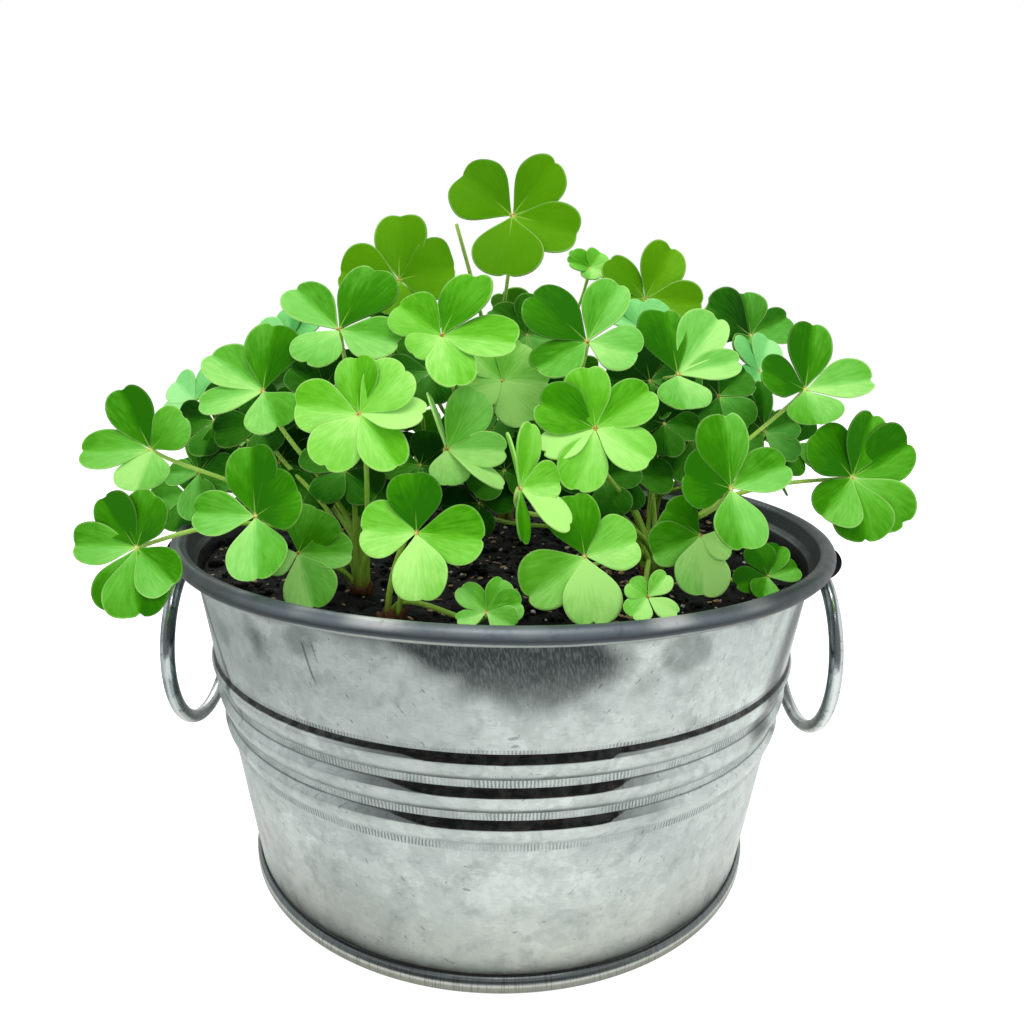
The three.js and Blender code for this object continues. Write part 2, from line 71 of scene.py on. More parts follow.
plus, minus, over, larger = (partial(calc, kind) for kind in ("ADD", "SUBTRACT", "DIVIDE", "MAXIMUM"))
above, below, absolute = (partial(calc, kind) for kind in ("GREATER_THAN", "LESS_THAN", "ABSOLUTE"))


def times(*factors):
    return reduce(partial(calc, "MULTIPLY"), factors)


def timesPlus(value, factor, added):
    return calc("MULTIPLY_ADD", value, factor, added)


def stirred(value, pattern, amount):
    # Moves the value up and down with a pattern that runs round one half
    return timesPlus(minus(pattern, 0.5), amount, value)


def ease(value, low, high, start=0.0, end=1.0):
    inputs = {0: value, 1: low, 2: high, 3: start, 4: end}
    return addNode("ShaderNodeMapRange", inputs, interpolation_type="SMOOTHSTEP").outputs[0]


def blend(share, first, second):
    return addNode("ShaderNodeMix", {0: share, 6: first, 7: second}, data_type="RGBA").outputs[2]


def grain(where, scale, detail=3.0, roughness=0.5, output=0):
    inputs = {"Vector": where, "Scale": scale, "Detail": detail, "Roughness": roughness}
    return addNode("ShaderNodeTexNoise", inputs).outputs[output]


def ramp(value, stops):
    made = addNode("ShaderNodeValToRGB", {0: value})
    band = made.color_ramp
    for place, tone in stops[1:-1]:
        band.elements.new(place).color = tone
    band.elements[0].position, band.elements[0].color = stops[0]
    band.elements[-1].position, band.elements[-1].color = stops[-1]
    return made.outputs[0]


def objectPlace():
    return addNode("ShaderNodeTexCoord").outputs["Object"]


def attribute(name):
    return addNode("ShaderNodeAttribute", attribute_name=name).outputs["Vector"]


def split(vector):
    return addNode("ShaderNodeSeparateXYZ", {0: vector}).outputs


def join(x, y=0.0, z=0.0):
    return addNode("ShaderNodeCombineXYZ", {0: x, 1: y, 2: z}).outputs[0]


def stretched(place, scale, turn=(0.0, 0.0, 0.0)):
    return addNode("ShaderNodeMapping", {0: place, 2: turn, 3: scale}).outputs[0]


def vectorMath(operation, *vectors, output=0):
    return addNode("ShaderNodeVectorMath", dict(enumerate(vectors)), operation=operation).outputs[output]


def bump(strength, depth, height):
    return addNode("ShaderNodeBump", {"Strength": strength, "Distance": depth, "Height": height}).outputs[0]


def paint(red, green, blue):
    # A colour as on a screen, from 0 to 255, in the linear values that a shader takes
    linear = [c / 3294.6 if c <= 10 else ((c / 255 + 0.055) / 1.055) ** 2.4 for c in (red, green, blue)]
    return (*linear, 1.0)


def surface(name):
    material = bpy.data.materials.new(name)
    material.use_nodes = True
    atHand["tree"] = material.node_tree
    return material


def finish(**values):
    # Gives the material at hand its values or links, by the names of the shader's sockets
    shader = atHand["tree"].nodes["Principled BSDF"]
    for name, value in values.items():
        feed(shader.inputs[name.replace("_", " ")], value)


# Mesh helpers
def addObject(name, data):
    made = bpy.data.objects.new(name, data)
    bpy.context.scene.collection.objects.link(made)
    return made


def polar(radius, angle, z=0):
    return radius * math.cos(angle), radius * math.sin(angle), z


def newPatch(*layers):
    return {"points": [], "faces": [], "layers": {layer: [] for layer in layers}}


def addTo(patch, points, faces, **layers):
    start = len(patch["points"])
    patch["points"].extend(points)
    patch["faces"].extend([tuple(start + i for i in face) for face in faces])
    for layer, values in layers.items():
        patch["layers"][layer].extend(values)


def makePiece(name, patch, body, material, replaced, crease=None):
    mesh = bpy.data.meshes.new(name)
    mesh.from_pydata([Vector(p) * mm for p in patch["points"]], [], patch["faces"])
    for layer, values in patch["layers"].items():
        data = mesh.attributes.new(layer, "FLOAT_VECTOR", "POINT").data
        data.foreach_set("vector", [number for value in values for number in value])
    mesh.polygons.foreach_set("use_smooth", [True] * len(mesh.polygons))
    if crease:
        mesh.set_sharp_from_angle(angle=math.radians(crease))
    mesh.materials.append(material)
    piece = addObject(name, mesh)
    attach(piece, body)
    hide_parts(*replaced)
    return piece


def turned(profile, steps):
    # A closed profile of (radius, height), turned about the upright axis
    count = len(profile)
    points = []
    for step in range(steps):
        angle = 2 * math.pi * step / steps
        points += [polar(r, angle, z) for r, z in profile]
    faces = []
    for step in range(steps):
        here, there = step * count, (step + 1) % steps * count
        for i in range(count):
            j = (i + 1) % count
            faces.append((here + i, there + i, there + j, here + j))
    return points, faces


def arc(middle, radius, start, end, steps):
    turns = [math.radians(start + (end - start) * i / steps) for i in range(steps + 1)]
    return [(middle[0] + radius * math.cos(t), middle[1] + radius * math.sin(t)) for t in turns]


def bezier(a, b, c, d, share):
    rest = 1 - share
    return a * rest ** 3 + b * (3 * rest ** 2 * share) + c * (3 * rest * share ** 2) + d * share ** 3


def tube(route, radii, sides):
    # A closed tube round the route, whose rings don't twist against each other
    points, faces = [], []
    along = (route[1] - route[0]).normalized()
    side = along.cross(Vector((0, 1, 0))).normalized()
    for i, place in enumerate(route):
        ahead = (route[min(i + 1, len(route) - 1)] - route[max(i - 1, 0)]).normalized()
        side = (side - ahead * side.dot(ahead)).normalized()
        other = ahead.cross(side)
        for k in range(sides):
            turn = 2 * math.pi * k / sides
            points.append(place + (side * math.cos(turn) + other * math.sin(turn)) * radii[i])
    for i in range(len(route) - 1):
        for k in range(sides):
            a, b = i * sides + k, i * sides + (k + 1) % sides
            faces.append((a, b, b + sides, a + sides))
    last = (len(route) - 1) * sides
    faces.append(tuple(reversed(range(sides))))
    faces.append(tuple(range(last, last + sides)))
    return points, faces


# Tub
tub = {
    "rimRadius": 100, "height": 105.6, "steps": 288,
    "beadRadius": 2.3, "beadStart": -120, "beadEnd": 180, "beadSteps": 22,
    "wallAtFoot": 79, "wallSlope": 0.15, "sheet": 1.2, "outerTop": 100, "innerTop": 98,
    "lipHeight": 2.6, "lowStep": 5, "midStep": 50, "topStep": 86, "crease": 28,
    "ribs": 3, "ribStart": 46.6, "ribPitch": 9.2, "ribHeight": 1.4, "ribSteps": 7,
    "ribApex": 0.54, "ribEnd": 0.78, "apexRound": 0.05, "swell": 0.8,
}
# The foot seam from its inner lip up to the wall: a band, a bright edge, a flange and a groove
footSeam = [
    (76.5, 2.6), (76.5, 0.3), (76.8, 0), (79.9, 0), (80.6, 0.2), (81, 0.7), (81.05, 2.6), (80.95, 3),
    (80.6, 3.3), (80.45, 3.55), (80.5, 3.9), (80.35, 4.3), (80, 4.5), (79.7, 4.45), (79.55, 4.7),
]


def outerWall(z):
    return tub["wallAtFoot"] + tub["wallSlope"] * z


def innerWall(z):
    return outerWall(z) - tub["sheet"]


def ribRise(share):
    # A ridge that swells from below to its apex and falls back in a straight shoulder
    low, high, rounded = tub["ribApex"], tub["ribEnd"], tub["apexRound"]
    up = math.sin(math.pi / 2 * min(share / low, 1)) ** tub["swell"] if share > 0 else 0
    down = max(0, (high - share) / (high - low))
    soft = min(up, down) if abs(share - low) > rounded else 0.5 * (min(up, down) + 1 - rounded)
    return tub["ribHeight"] * (soft if share < high else 0)


# The zinc's finish, with painted reflections, highlights and shade among its colours. Heights are
# millimetres, colours as on a screen from 0 to 255.
zinc = {
    "sheet": (paint(202, 210, 208), paint(232, 238, 235)), "low": paint(200, 202, 186),
    "mottled": paint(132, 141, 138), "brushed": paint(120, 129, 130), "scratched": paint(90, 98, 100),
    "speck": paint(96, 104, 106), "shadeAndReflection": paint(34, 42, 44), "line": paint(52, 60, 60),
    "tick": paint(90, 100, 104), "ticks": 620, "soot": (paint(10, 13, 13), paint(74, 58, 48)),
    "paintedHighlight": paint(214, 216, 214), "worn": paint(60, 68, 72), "rimSideReflection": paint(50, 58, 61),
    "footStreak": paint(60, 62, 58), "inside": (paint(6, 8, 9), paint(88, 97, 97)),
    "reflectionMiddle": -64, "reflectionLean": -278, "reflectionTip": 79, "reflectionFlare": 56,
    "rimInside": 96.8, "seamHigh": 5.6, "seamFade": 0.8, "insideHigh": 100.5, "flankFrom": 111,
    "flankFull": 99, "flankShort": (68, 74), "skin": 0.5,
}
# Crystals: how many to a metre, how far their borders bend, tone and depth
crystals = [
    (110.0, 0.006, paint(152, 163, 163), 0.3), (300.0, 0.0025, paint(160, 168, 160), 0.28),
    (800.0, 0.001, paint(150, 160, 160), 0.2),
]
# Dark lines on the wall: bearing at its foot, turn for each metre up, half width, low and high end, depth
wallLines = [
    (-122, -305, 0.03, 62, 99, 0.75), (-50, 200, 0.12, 56, 99, 0.75),
    (-101.2, -190, 0.006, 83, 96, 0.6), (-99.2, -190, 0.004, 89, 96, 0.5),
]
# Soft dark spots of painted shade and reflection: bearing, height, radius, depth
wallSpots = [
    (-129, 92, 7, 0.7), (-119, 95, 6, 0.4), (-64, 95, 7, 0.45), (-70, 89, 7, 0.4), (-141, 88, 6, 0.4),
    (-124, 12, 34, 0.35), (-50, 10, 16, 0.2),
]
# Tones across the rolled rim, a painted reflection in dark bands and highlights, and up the foot seam, grey
# with a painted highlight, reflection and groove shade
rimTones = [
    (0.0, paint(60, 66, 68)), (0.1, paint(150, 156, 152)), (0.2, paint(160, 166, 162)),
    (0.28, paint(76, 84, 88)), (0.44, paint(52, 58, 62)), (0.62, paint(96, 106, 112)),
    (0.8, paint(120, 131, 136)), (0.93, paint(104, 115, 121)), (1.0, paint(90, 101, 106)),
]
seamTones = [
    (0.0, paint(112, 113, 104)), (0.36, paint(144, 146, 134)), (0.46, paint(206, 208, 200)),
    (0.56, paint(112, 119, 120)), (0.76, paint(92, 99, 102)), (0.86, paint(26, 30, 30)),
    (1.0, paint(120, 128, 126)),
]


def wallPlaces():
    # What the finish of the wall is laid out by: where a point lies, and the patterns that cross it
    wall = SimpleNamespace(place=objectPlace())
    x, y, wall.z = split(wall.place)
    wall.angle = calc("ARCTAN2", y, x)
    wall.radius = calc("SQRT", timesPlus(x, x, times(y, y)))
    wall.front = times(over(y, wall.radius), -1.0)
    within = (tub["wallAtFoot"] - zinc["skin"]) * mm
    wall.outside = minus(wall.radius, timesPlus(wall.z, tub["wallSlope"], within))
    wall.skin = ease(wall.outside, -0.0005, 0.0)
    wall.streaks = grain(join(times(wall.angle, 90.0), times(wall.z, 60.0)), 2.6, 4.0, 0.65)
    wall.clouds = grain(wall.place, 28.0, 5.0, 0.6)
    wall.billows = minus(grain(wall.place, 48.0, 2.0, 0.4), 0.5)
    wall.mottle = grain(wall.place, 170.0, 4.0, 0.6)
    wall.patches = grain(wall.place, 420.0, 2.0, 0.5)
    wall.lines = grain(stretched(wall.place, (300.0, 300.0, 1700.0), (0.25, 0.2, 0.0)), 1.0, 3.0, 0.6)
    return wall


def bareZinc(wall):
    # Cloudy zinc with crystals of three sizes, whose borders wander
    base = blend(ease(wall.clouds, 0.3, 0.7), *zinc["sheet"])
    base = blend(ease(wall.z, 0.04, 0.008, 0.0, 0.6), base, zinc["low"])
    wander = grain(wall.place, 300.0, output="Color")
    for size, bend, tone, depth in crystals:
        bent = vectorMath("MULTIPLY_ADD", wander, (bend, bend, bend), wall.place)
        cells = addNode("ShaderNodeTexVoronoi", {"Vector": bent, "Scale": size}).outputs["Color"]
        base = blend(times(split(cells)[0], depth), base, tone)
    base = blend(ease(wall.mottle, 0.5, 0.72, 0.0, 0.35), base, zinc["mottled"])
    # Fine brushed lines, then a few scratches and specks
    base = blend(ease(wall.lines, 0.54, 0.7, 0.0, 0.16), base, zinc["brushed"])
    scratches = grain(stretched(wall.place, (160.0, 2400.0, 340.0), (0.3, 0.0, 0.5)), 1.0, 2.0, 0.4)
    base = blend(times(ease(scratches, 0.7, 0.74), 0.5), base, zinc["scratched"])
    specks = grain(wall.place, 700.0, 2.0, 0.5)
    return blend(times(ease(specks, 0.7, 0.77), 0.5), base, zinc["speck"])


def withShadeAndReflection(wall, base):
    # A painted dark reflection hangs from the rim in a wedge with cloudy edges and a fine hatch in it
    middle = timesPlus(wall.z, math.radians(zinc["reflectionLean"]), math.radians(zinc["reflectionMiddle"]))
    aside = absolute(minus(wall.angle, middle))
    wedge = minus(wall.z, timesPlus(aside, zinc["reflectionFlare"] * mm, zinc["reflectionTip"] * mm))
    wedge = timesPlus(wall.billows, 0.034, wedge)
    darkReflection = times(ease(wedge, -0.003, 0.007), ease(wall.z, 0.078, 0.098, 0.6, 1.0))
    hatched = join(timesPlus(wall.angle, 210.0, times(wall.z, 400.0)), times(wall.z, 520.0))
    darkReflection = times(darkReflection, ease(grain(hatched, 1.0, 2.0, 0.5), 0.7, 0.4, 0.87, 1.0))
    # A painted shadow runs under the rim all the way round
    rimShadow = ease(timesPlus(wall.billows, 0.006, wall.z), 0.0975, 0.1, 0.0, 0.6)
    shadeAndReflection = larger(darkReflection, rimShadow)
    # Soft spots of painted shade and reflection
    for bearing, height, size, depth in wallSpots:
        spot = polar(outerWall(height) * mm, math.radians(bearing), height * mm)
        away = timesPlus(wall.billows, 0.03, vectorMath("DISTANCE", wall.place, spot, output="Value"))
        shadeAndReflection = larger(shadeAndReflection, ease(away, size * mm, 0.0, 0.0, depth))
    base = blend(times(shadeAndReflection, wall.skin, 0.95), base, zinc["shadeAndReflection"])
    for bearing, lean, width, low, high, depth in wallLines:
        line = minus(wall.angle, timesPlus(wall.z, math.radians(lean), math.radians(bearing)))
        line = ease(absolute(timesPlus(wall.billows, 0.05, line)), width, width * 0.2, 0.0, depth)
        ends = times(ease(wall.z, low * mm, (low + 4) * mm), ease(wall.z, high * mm, (high - 2) * mm))
        base = blend(times(line, ends, wall.skin), base, zinc["line"])
    return base


def ribMarks(wall, base):
    # Roller marks: a strip of small ticks above each rib and one below them all
    pitch, start = tub["ribPitch"] * mm, tub["ribStart"] * mm
    top = start + tub["ribs"] * pitch
    turn = calc("FRACT", over(minus(wall.z, start - pitch), pitch))
    ribbed = times(below(wall.z, top - 0.11 * pitch), above(wall.z, start - 0.24 * pitch))
    strip = times(ease(turn, 0.77, 0.8), ribbed)
    comb = calc("SINE", timesPlus(wall.angle, float(zinc["ticks"]), times(wall.mottle, 9.0)))
    worn = ease(grain(wall.place, 60.0, 3.0, 0.6), 0.4, 0.62, 0.15, 1.0)
    ticks = times(ease(comb, -0.3, 0.6), worn)
    wall.ticks = times(strip, ticks)
    base = blend(times(strip, timesPlus(ticks, 0.6, 0.1)), base, zinc["tick"])
    # Each rib's upper flank is painted black as a reflection near the front and back, on the top rib all
    # the way round
    around = absolute(stirred(wall.angle, wall.mottle, 0.06))
    shortFrom, shortFull = (math.radians(bearing) for bearing in zinc["flankShort"])
    wide = times(ease(around, math.radians(zinc["flankFrom"]), math.radians(zinc["flankFull"])),
                 ease(around, shortFrom, shortFull))
    highest = above(wall.z, top - pitch)
    wide = larger(wide, times(highest, ease(wall.front, -0.2, 0.75, 0.34, 0.62)))
    wide = larger(wide, ease(wall.clouds, 0.35, 0.6, 0.06, 0.16))
    low = stirred(timesPlus(wide, -0.23, 0.765), wall.mottle, 0.05)
    flank = times(ease(minus(turn, low), -0.015, 0.025), ease(turn, 0.785, 0.765))
    soot = times(flank, wall.skin, ribbed, above(wall.z, start))
    wall.soot = times(soot, ease(wide, 0.05, 0.5, 0.6, 0.95), ease(wall.patches, 0.35, 0.65, 0.92, 1.0))
    return blend(wall.soot, base, blend(ease(wall.lines, 0.45, 0.75, 0.0, 0.8), *zinc["soot"]))


def rimAndFoot(wall, base):
    # The rolled rim is painted darker as a reflection, with painted highlights along its upper side and in
    # a thin line at its bottom
    wall.rim = ease(wall.z, (tub["outerTop"] + 0.2) * mm, (tub["outerTop"] + 1.0) * mm)
    bottom = (tub["height"] - 2 * tub["beadRadius"]) * mm
    across = over(minus(stirred(wall.z, wall.clouds, 0.0012), bottom), 2 * tub["beadRadius"] * mm)
    across = larger(across, times(below(wall.radius, zinc["rimInside"] * mm), 0.6))
    paintedHighlight = grain(join(wall.angle), 4.0, 1.0, 0.4)
    highlightMask = times(ease(across, 0.5, 0.8), ease(paintedHighlight, 0.45, 0.65, 0.0, 0.8))
    bead = blend(highlightMask, ramp(across, rimTones), zinc["paintedHighlight"])
    bead = blend(ease(wall.patches, 0.55, 0.75, 0.0, 0.3), bead, zinc["worn"])
    # Towards its sides the rim gets a darker painted reflection
    bead = blend(ease(wall.front, 0.98, 0.7, 0.0, 0.95), bead, zinc["rimSideReflection"])
    base = blend(wall.rim, base, bead)
    # Up the foot seam: painted highlight, reflection and groove shade over grey, then brush streaks
    high = zinc["seamHigh"] * mm
    foot = ease(wall.z, high, high - zinc["seamFade"] * mm)
    base = blend(times(foot, 0.85), base, ramp(over(wall.z, high), seamTones))
    return blend(times(foot, ease(wall.streaks, 0.5, 0.62, 0.0, 0.4)), base, zinc["footStreak"])


def insideWall(wall, base):
    # Inside, painted shade makes it near-black above the soil, and it is worn pale under the rim
    inner = times(ease(wall.outside, -0.0002, -0.0005), below(wall.z, zinc["insideHigh"] * mm))
    pale = ease(stirred(wall.z, wall.mottle, 0.005), 0.098, 0.1015)
    return blend(times(inner, 0.95), base, blend(pale, *zinc["inside"]))


def zincSurface():
    material = surface("zincSheet")
    wall = wallPlaces()
    base = bareZinc(wall)
    for layer in (withShadeAndReflection, ribMarks, rimAndFoot, insideWall):
        base = layer(wall, base)
    rough = plus(ease(wall.streaks, 0.2, 0.8, 0.24, 0.34), times(ease(wall.mottle, 0.3, 0.7), 0.08))
    rough = plus(rough, times(larger(wall.rim, wall.soot), 0.12))
    relief = plus(times(wall.mottle, 0.5), times(wall.ticks, 0.5))
    finish(Base_Color=base, Roughness=rough, Metallic=timesPlus(wall.rim, -0.55, 1.0),
           Normal=bump(0.25, 0.0003, relief))
    return material


def makeTubWall(zincSkin):
    profile = list(footSeam)
    profile.append((outerWall(tub["lowStep"]), tub["lowStep"]))
    for rib in range(tub["ribs"]):
        steps = [i / tub["ribSteps"] for i in range(tub["ribSteps"])]
        shares = [tub["ribApex"] * s for s in steps]
        shares += [tub["ribApex"] + (tub["ribEnd"] - tub["ribApex"]) * s for s in steps]
        shares.append(tub["ribEnd"])
        for share in shares:
            z = tub["ribStart"] + tub["ribPitch"] * (rib + share)
            profile.append((outerWall(z) + ribRise(share), z))
    top = tub["ribStart"] + tub["ribs"] * tub["ribPitch"]
    profile += [(outerWall(z), z) for z in (top, tub["topStep"], tub["outerTop"])]
    middle = (tub["rimRadius"] - tub["beadRadius"], tub["height"] - tub["beadRadius"])
    profile += arc(middle, tub["beadRadius"], tub["beadStart"], tub["beadEnd"], tub["beadSteps"])
    profile += [(innerWall(z), z) for z in (tub["innerTop"], tub["midStep"], tub["lipHeight"])]
    patch = newPatch()
    points, faces = turned(profile, tub["steps"])
    addTo(patch, points, faces)
    return makePiece("tubWall", patch, "tub", zincSkin, ["tub_wall"], crease=tub["crease"])


# Ring handles and their ears
handles = {
    "ringRadius": 27.6, "wireRadius": 2.1, "ringSteps": 120, "wireSteps": 24, "pivotX": 100, "pivotZ": 93,
    "earWidth": 7, "earStrap": 1.8, "earTurn": 125, "eyeSteps": 30, "earHole": 2.7, "earOuter": 6.4,
    "earNose": 1.35, "earLow": 84, "earHigh": 98.6, "earGap": 0.3, "earEdge": 0.35, "earBevel": 2,
    "earCrease": 40, "earWeld": 0.01,
}


# The wire's colours, among them a painted dark reflection for its sides and a painted highlight
wireTones = {
    "high": paint(196, 206, 210), "low": paint(190, 195, 190), "cloud": paint(96, 104, 106),
    "spot": paint(60, 66, 66), "side": paint(44, 50, 52), "paintedHighlight": paint(240, 242, 240),
}
earTones = {"dark": paint(20, 22, 24), "light": paint(60, 66, 70), "spot": paint(16, 17, 18)}


def wireSurface():
    material = surface("ringWire")
    place = objectPlace()
    spots, clouds = grain(place, 420.0, 4.0, 0.65), grain(place, 90.0, 4.0, 0.6)
    # Worn bright high up, rougher and greyer where the ring swings against the wall
    low = ease(stirred(split(place)[2], clouds, 0.03), 0.062, 0.042)
    base = blend(low, wireTones["high"], wireTones["low"])
    base = blend(ease(clouds, 0.48, 0.62, 0.0, 0.45), base, wireTones["cloud"])
    base = blend(ease(spots, 0.54, 0.7, 0.0, 0.65), base, wireTones["spot"])
    # Its two sides are painted dark as a reflection, and a painted highlight line runs between them
    normal = addNode("ShaderNodeTexCoord").outputs["Normal"]
    aside = stirred(absolute(split(normal)[0]), clouds, 0.6)
    base = blend(ease(aside, 0.55, 0.9, 0.0, 0.75), base, wireTones["side"])
    base = blend(ease(aside, 0.45, 0.1, 0.0, 0.8), base, wireTones["paintedHighlight"])
    rough = plus(ease(spots, 0.3, 0.7, 0.14, 0.24), times(low, 0.16))
    finish(Base_Color=base, Roughness=rough, Metallic=1.0, Normal=bump(0.15, 0.0002, spots))
    return material


def earSurface():
    material = surface("earSteel")
    place = objectPlace()
    spots = grain(place, 500.0, 4.0, 0.6)
    base = blend(grain(place, 120.0, 3.0, 0.5), earTones["dark"], earTones["light"])
    base = blend(ease(spots, 0.45, 0.7, 0.0, 0.5), base, earTones["spot"])
    finish(Base_Color=base, Roughness=ease(spots, 0.3, 0.7, 0.3, 0.5), Metallic=1.0)
    return material


def makeRing(side, steel):
    h = handles
    circle = arc((h["ringRadius"], 0), h["wireRadius"], 0, 360, h["wireSteps"])[:-1]
    points, faces = turned(circle, h["ringSteps"])
    low = h["pivotZ"] - h["ringRadius"]
    points = [(side * h["pivotX"] + z, y, low + x) for x, y, z in points]
    patch = newPatch()
    addTo(patch, points, faces)
    name = "Left" if side < 0 else "Right"
    body = "ring_" + name.lower()
    return makePiece("ring" + name, patch, body, steel, [body])


def earOutlines():
    # The strap, closed round the wire, and the eye in it for the wire
    h = handles
    seatLow = outerWall(h["earLow"]) + h["earGap"]
    seatHigh = outerWall(h["earHigh"]) + h["earGap"]
    centre = (h["pivotX"], h["pivotZ"])
    outline = [(seatLow, h["earLow"]), (seatLow + h["earStrap"], h["earLow"])]
    for x, z in arc(centre, h["earOuter"], -h["earTurn"], h["earTurn"], h["eyeSteps"]):
        outline.append((x + max(0, x - h["pivotX"]) * (h["earNose"] - 1), z))
    outline += [(seatHigh + h["earStrap"], h["earHigh"]), (seatHigh, h["earHigh"])]
    return outline, arc(centre, h["earHole"], 0, 360, h["eyeSteps"])[:-1]


def earMesh(name):
    # A curve gives the flat outlines their width and rounded edges
    h = handles
    curve = bpy.data.curves.new(name, "CURVE")
    curve.dimensions = "2D"
    curve.fill_mode = "BOTH"
    curve.extrude = (h["earWidth"] / 2 - h["earEdge"]) * mm
    curve.bevel_depth = h["earEdge"] * mm
    curve.bevel_resolution = h["earBevel"]
    curve.offset = -h["earEdge"] * mm
    for loop in earOutlines():
        spline = curve.splines.new("POLY")
        spline.points.add(len(loop) - 1)
        for point, (x, z) in zip(spline.points, loop):
            point.co = (x * mm, z * mm, 0, 1)
        spline.use_cyclic_u = True
    shape = addObject(name + "Shape", curve)
    view = bpy.context.evaluated_depsgraph_get()
    mesh = bpy.data.meshes.new_from_object(shape.evaluated_get(view), depsgraph=view)
    bpy.data.objects.remove(shape)
    bpy.data.curves.remove(curve)
    return mesh


def makeEar(side, steel):
    name = "ear" + ("Left" if side < 0 else "Right")
    mesh = earMesh(name)
    mesh.transform(Matrix.Rotation(math.pi / 2, 4, "X"))
    if side < 0:
        mesh.transform(Matrix.Rotation(math.pi, 4, "Z"))
    shell = bmesh.new()
    shell.from_mesh(mesh)
    bmesh.ops.remove_doubles(shell, verts=shell.verts, dist=handles["earWeld"] * mm)
    bmesh.ops.recalc_face_normals(shell, faces=shell.faces)
    shell.to_mesh(mesh)
    shell.free()
    mesh.polygons.foreach_set("use_smooth", [True] * len(mesh.polygons))
    mesh.set_sharp_from_angle(angle=math.radians(handles["earCrease"]))
    mesh.materials.clear()
    mesh.materials.append(steel)
    ear = addObject(name, mesh)
    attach(ear, "tub")
    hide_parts("ear_left" if side < 0 else "ear_right")
    return ear


# Soil
soil = {
    "edge": 95, "middle": 98, "gap": 0.3, "rings": 56, "steps": 168, "floor": 4.4, "seed": 11,
    "hills": 1.5, "hillScale": 0.07, "lumps": 1.0, "lumpScale": 0.33,
    "lumpyEdge": 12, "strewnReach": 0.985, "rough": 0.45, "roughScale": 1.3, "lean": 0.5, "sunk": 0.35,
}
# What is strewn on it: how many, how finely made, sizes, length for its size, flatness, and
# whether it is a tan chip or a pale bead
strewn = [
    (1300, 2, (0.5, 1.7), (0.9, 1.4), 0.7, (0, 0)), (1000, 1, (0.3, 0.7), (0.9, 1.4), 0.8, (0, 0)),
    (620, 2, (0.35, 1.0), (1.3, 2.4), 0.35, (1, 0)), (170, 2, (0.3, 0.8), (0.9, 1.4), 0.8, (0, 1)),
]


def soilHeight(x, y):
    share = min(1.0, math.hypot(x, y) / (innerWall(soil["edge"]) - soil["gap"]))
    base = soil["edge"] + (soil["middle"] - soil["edge"]) * math.cos(share * math.pi / 2)
    rolling = noise.noise(Vector((x, y, 3)) * soil["hillScale"]) * soil["hills"]
    lumpy = noise.fractal(Vector((x, y, 7)) * soil["lumpScale"], 1.0, 2.0, 3) * soil["lumps"]
    fade = min(1.0, (1 - share) * soil["lumpyEdge"])
    return base + (rolling + lumpy) * fade


soilTones = {
    "earth": (paint(3, 3, 4), paint(17, 16, 16)), "fine": paint(46, 42, 38), "crumb": paint(44, 36, 30),
    "chip": (paint(104, 82, 54), paint(196, 168, 124)), "pale": paint(206, 202, 190),
}


def soilSurface():
    material = surface("pottingSoil")
    place = objectPlace()
    chip, pale, tone = split(attribute("kind"))
    fine, coarse = grain(place, 900.0, 5.0, 0.7), grain(place, 160.0, 4.0, 0.6)
    base = blend(coarse, *soilTones["earth"])
    base = blend(ease(fine, 0.52, 0.74, 0.0, 0.5), base, soilTones["fine"])
    base = blend(times(tone, 0.2), base, soilTones["crumb"])
    base = blend(chip, base, blend(fine, *soilTones["chip"]))
    base = blend(pale, base, soilTones["pale"])
    finish(Base_Color=base, Roughness=ease(coarse, 0.3, 0.7, 0.65, 0.95), Specular_IOR_Level=0.25,
           Normal=bump(0.7, 0.0006, fine))
    return material


def stone(level):
    # The points and faces of a round stone of radius 1
    ball = bmesh.new()
    bmesh.ops.create_icosphere(ball, subdivisions=level, radius=1)
    points = [v.co.copy() for v in ball.verts]
    faces = [tuple(v.index for v in f.verts) for f in ball.faces]
    ball.free()
    return points, faces


def addBed(patch, reach):
    # The uneven surface out to the tub, with a side and a bottom that follow the tub
    around, rings = soil["steps"], soil["rings"]
    angles = [2 * math.pi * step / around for step in range(around)]
    points = [(0, 0, soilHeight(0, 0))]
    for ring in range(1, rings + 1):
        for angle in angles:
            x, y, _ = polar(reach * ring / rings, angle)
            points.append((x, y, soilHeight(x, y)))
    low, last = len(points), 1 + (rings - 1) * around
    foot = innerWall(soil["floor"]) - soil["gap"]
    points += [polar(foot, angle, soil["floor"]) for angle in angles]
    faces = []
    for step in range(around):
        after = (step + 1) % around
        faces.append((0, 1 + step, 1 + after))
        for a in range(1, last, around):
            b = a + around
            faces.append((a + step, b + step, b + after, a + after))
    for step in range(around):
        after = (step + 1) % around
        faces.append((last + step, low + step, low + after, last + after))
    faces.append(tuple(low + step for step in reversed(range(around))))
    addTo(patch, points, faces, kind=[(0, 0, 0)] * len(points))


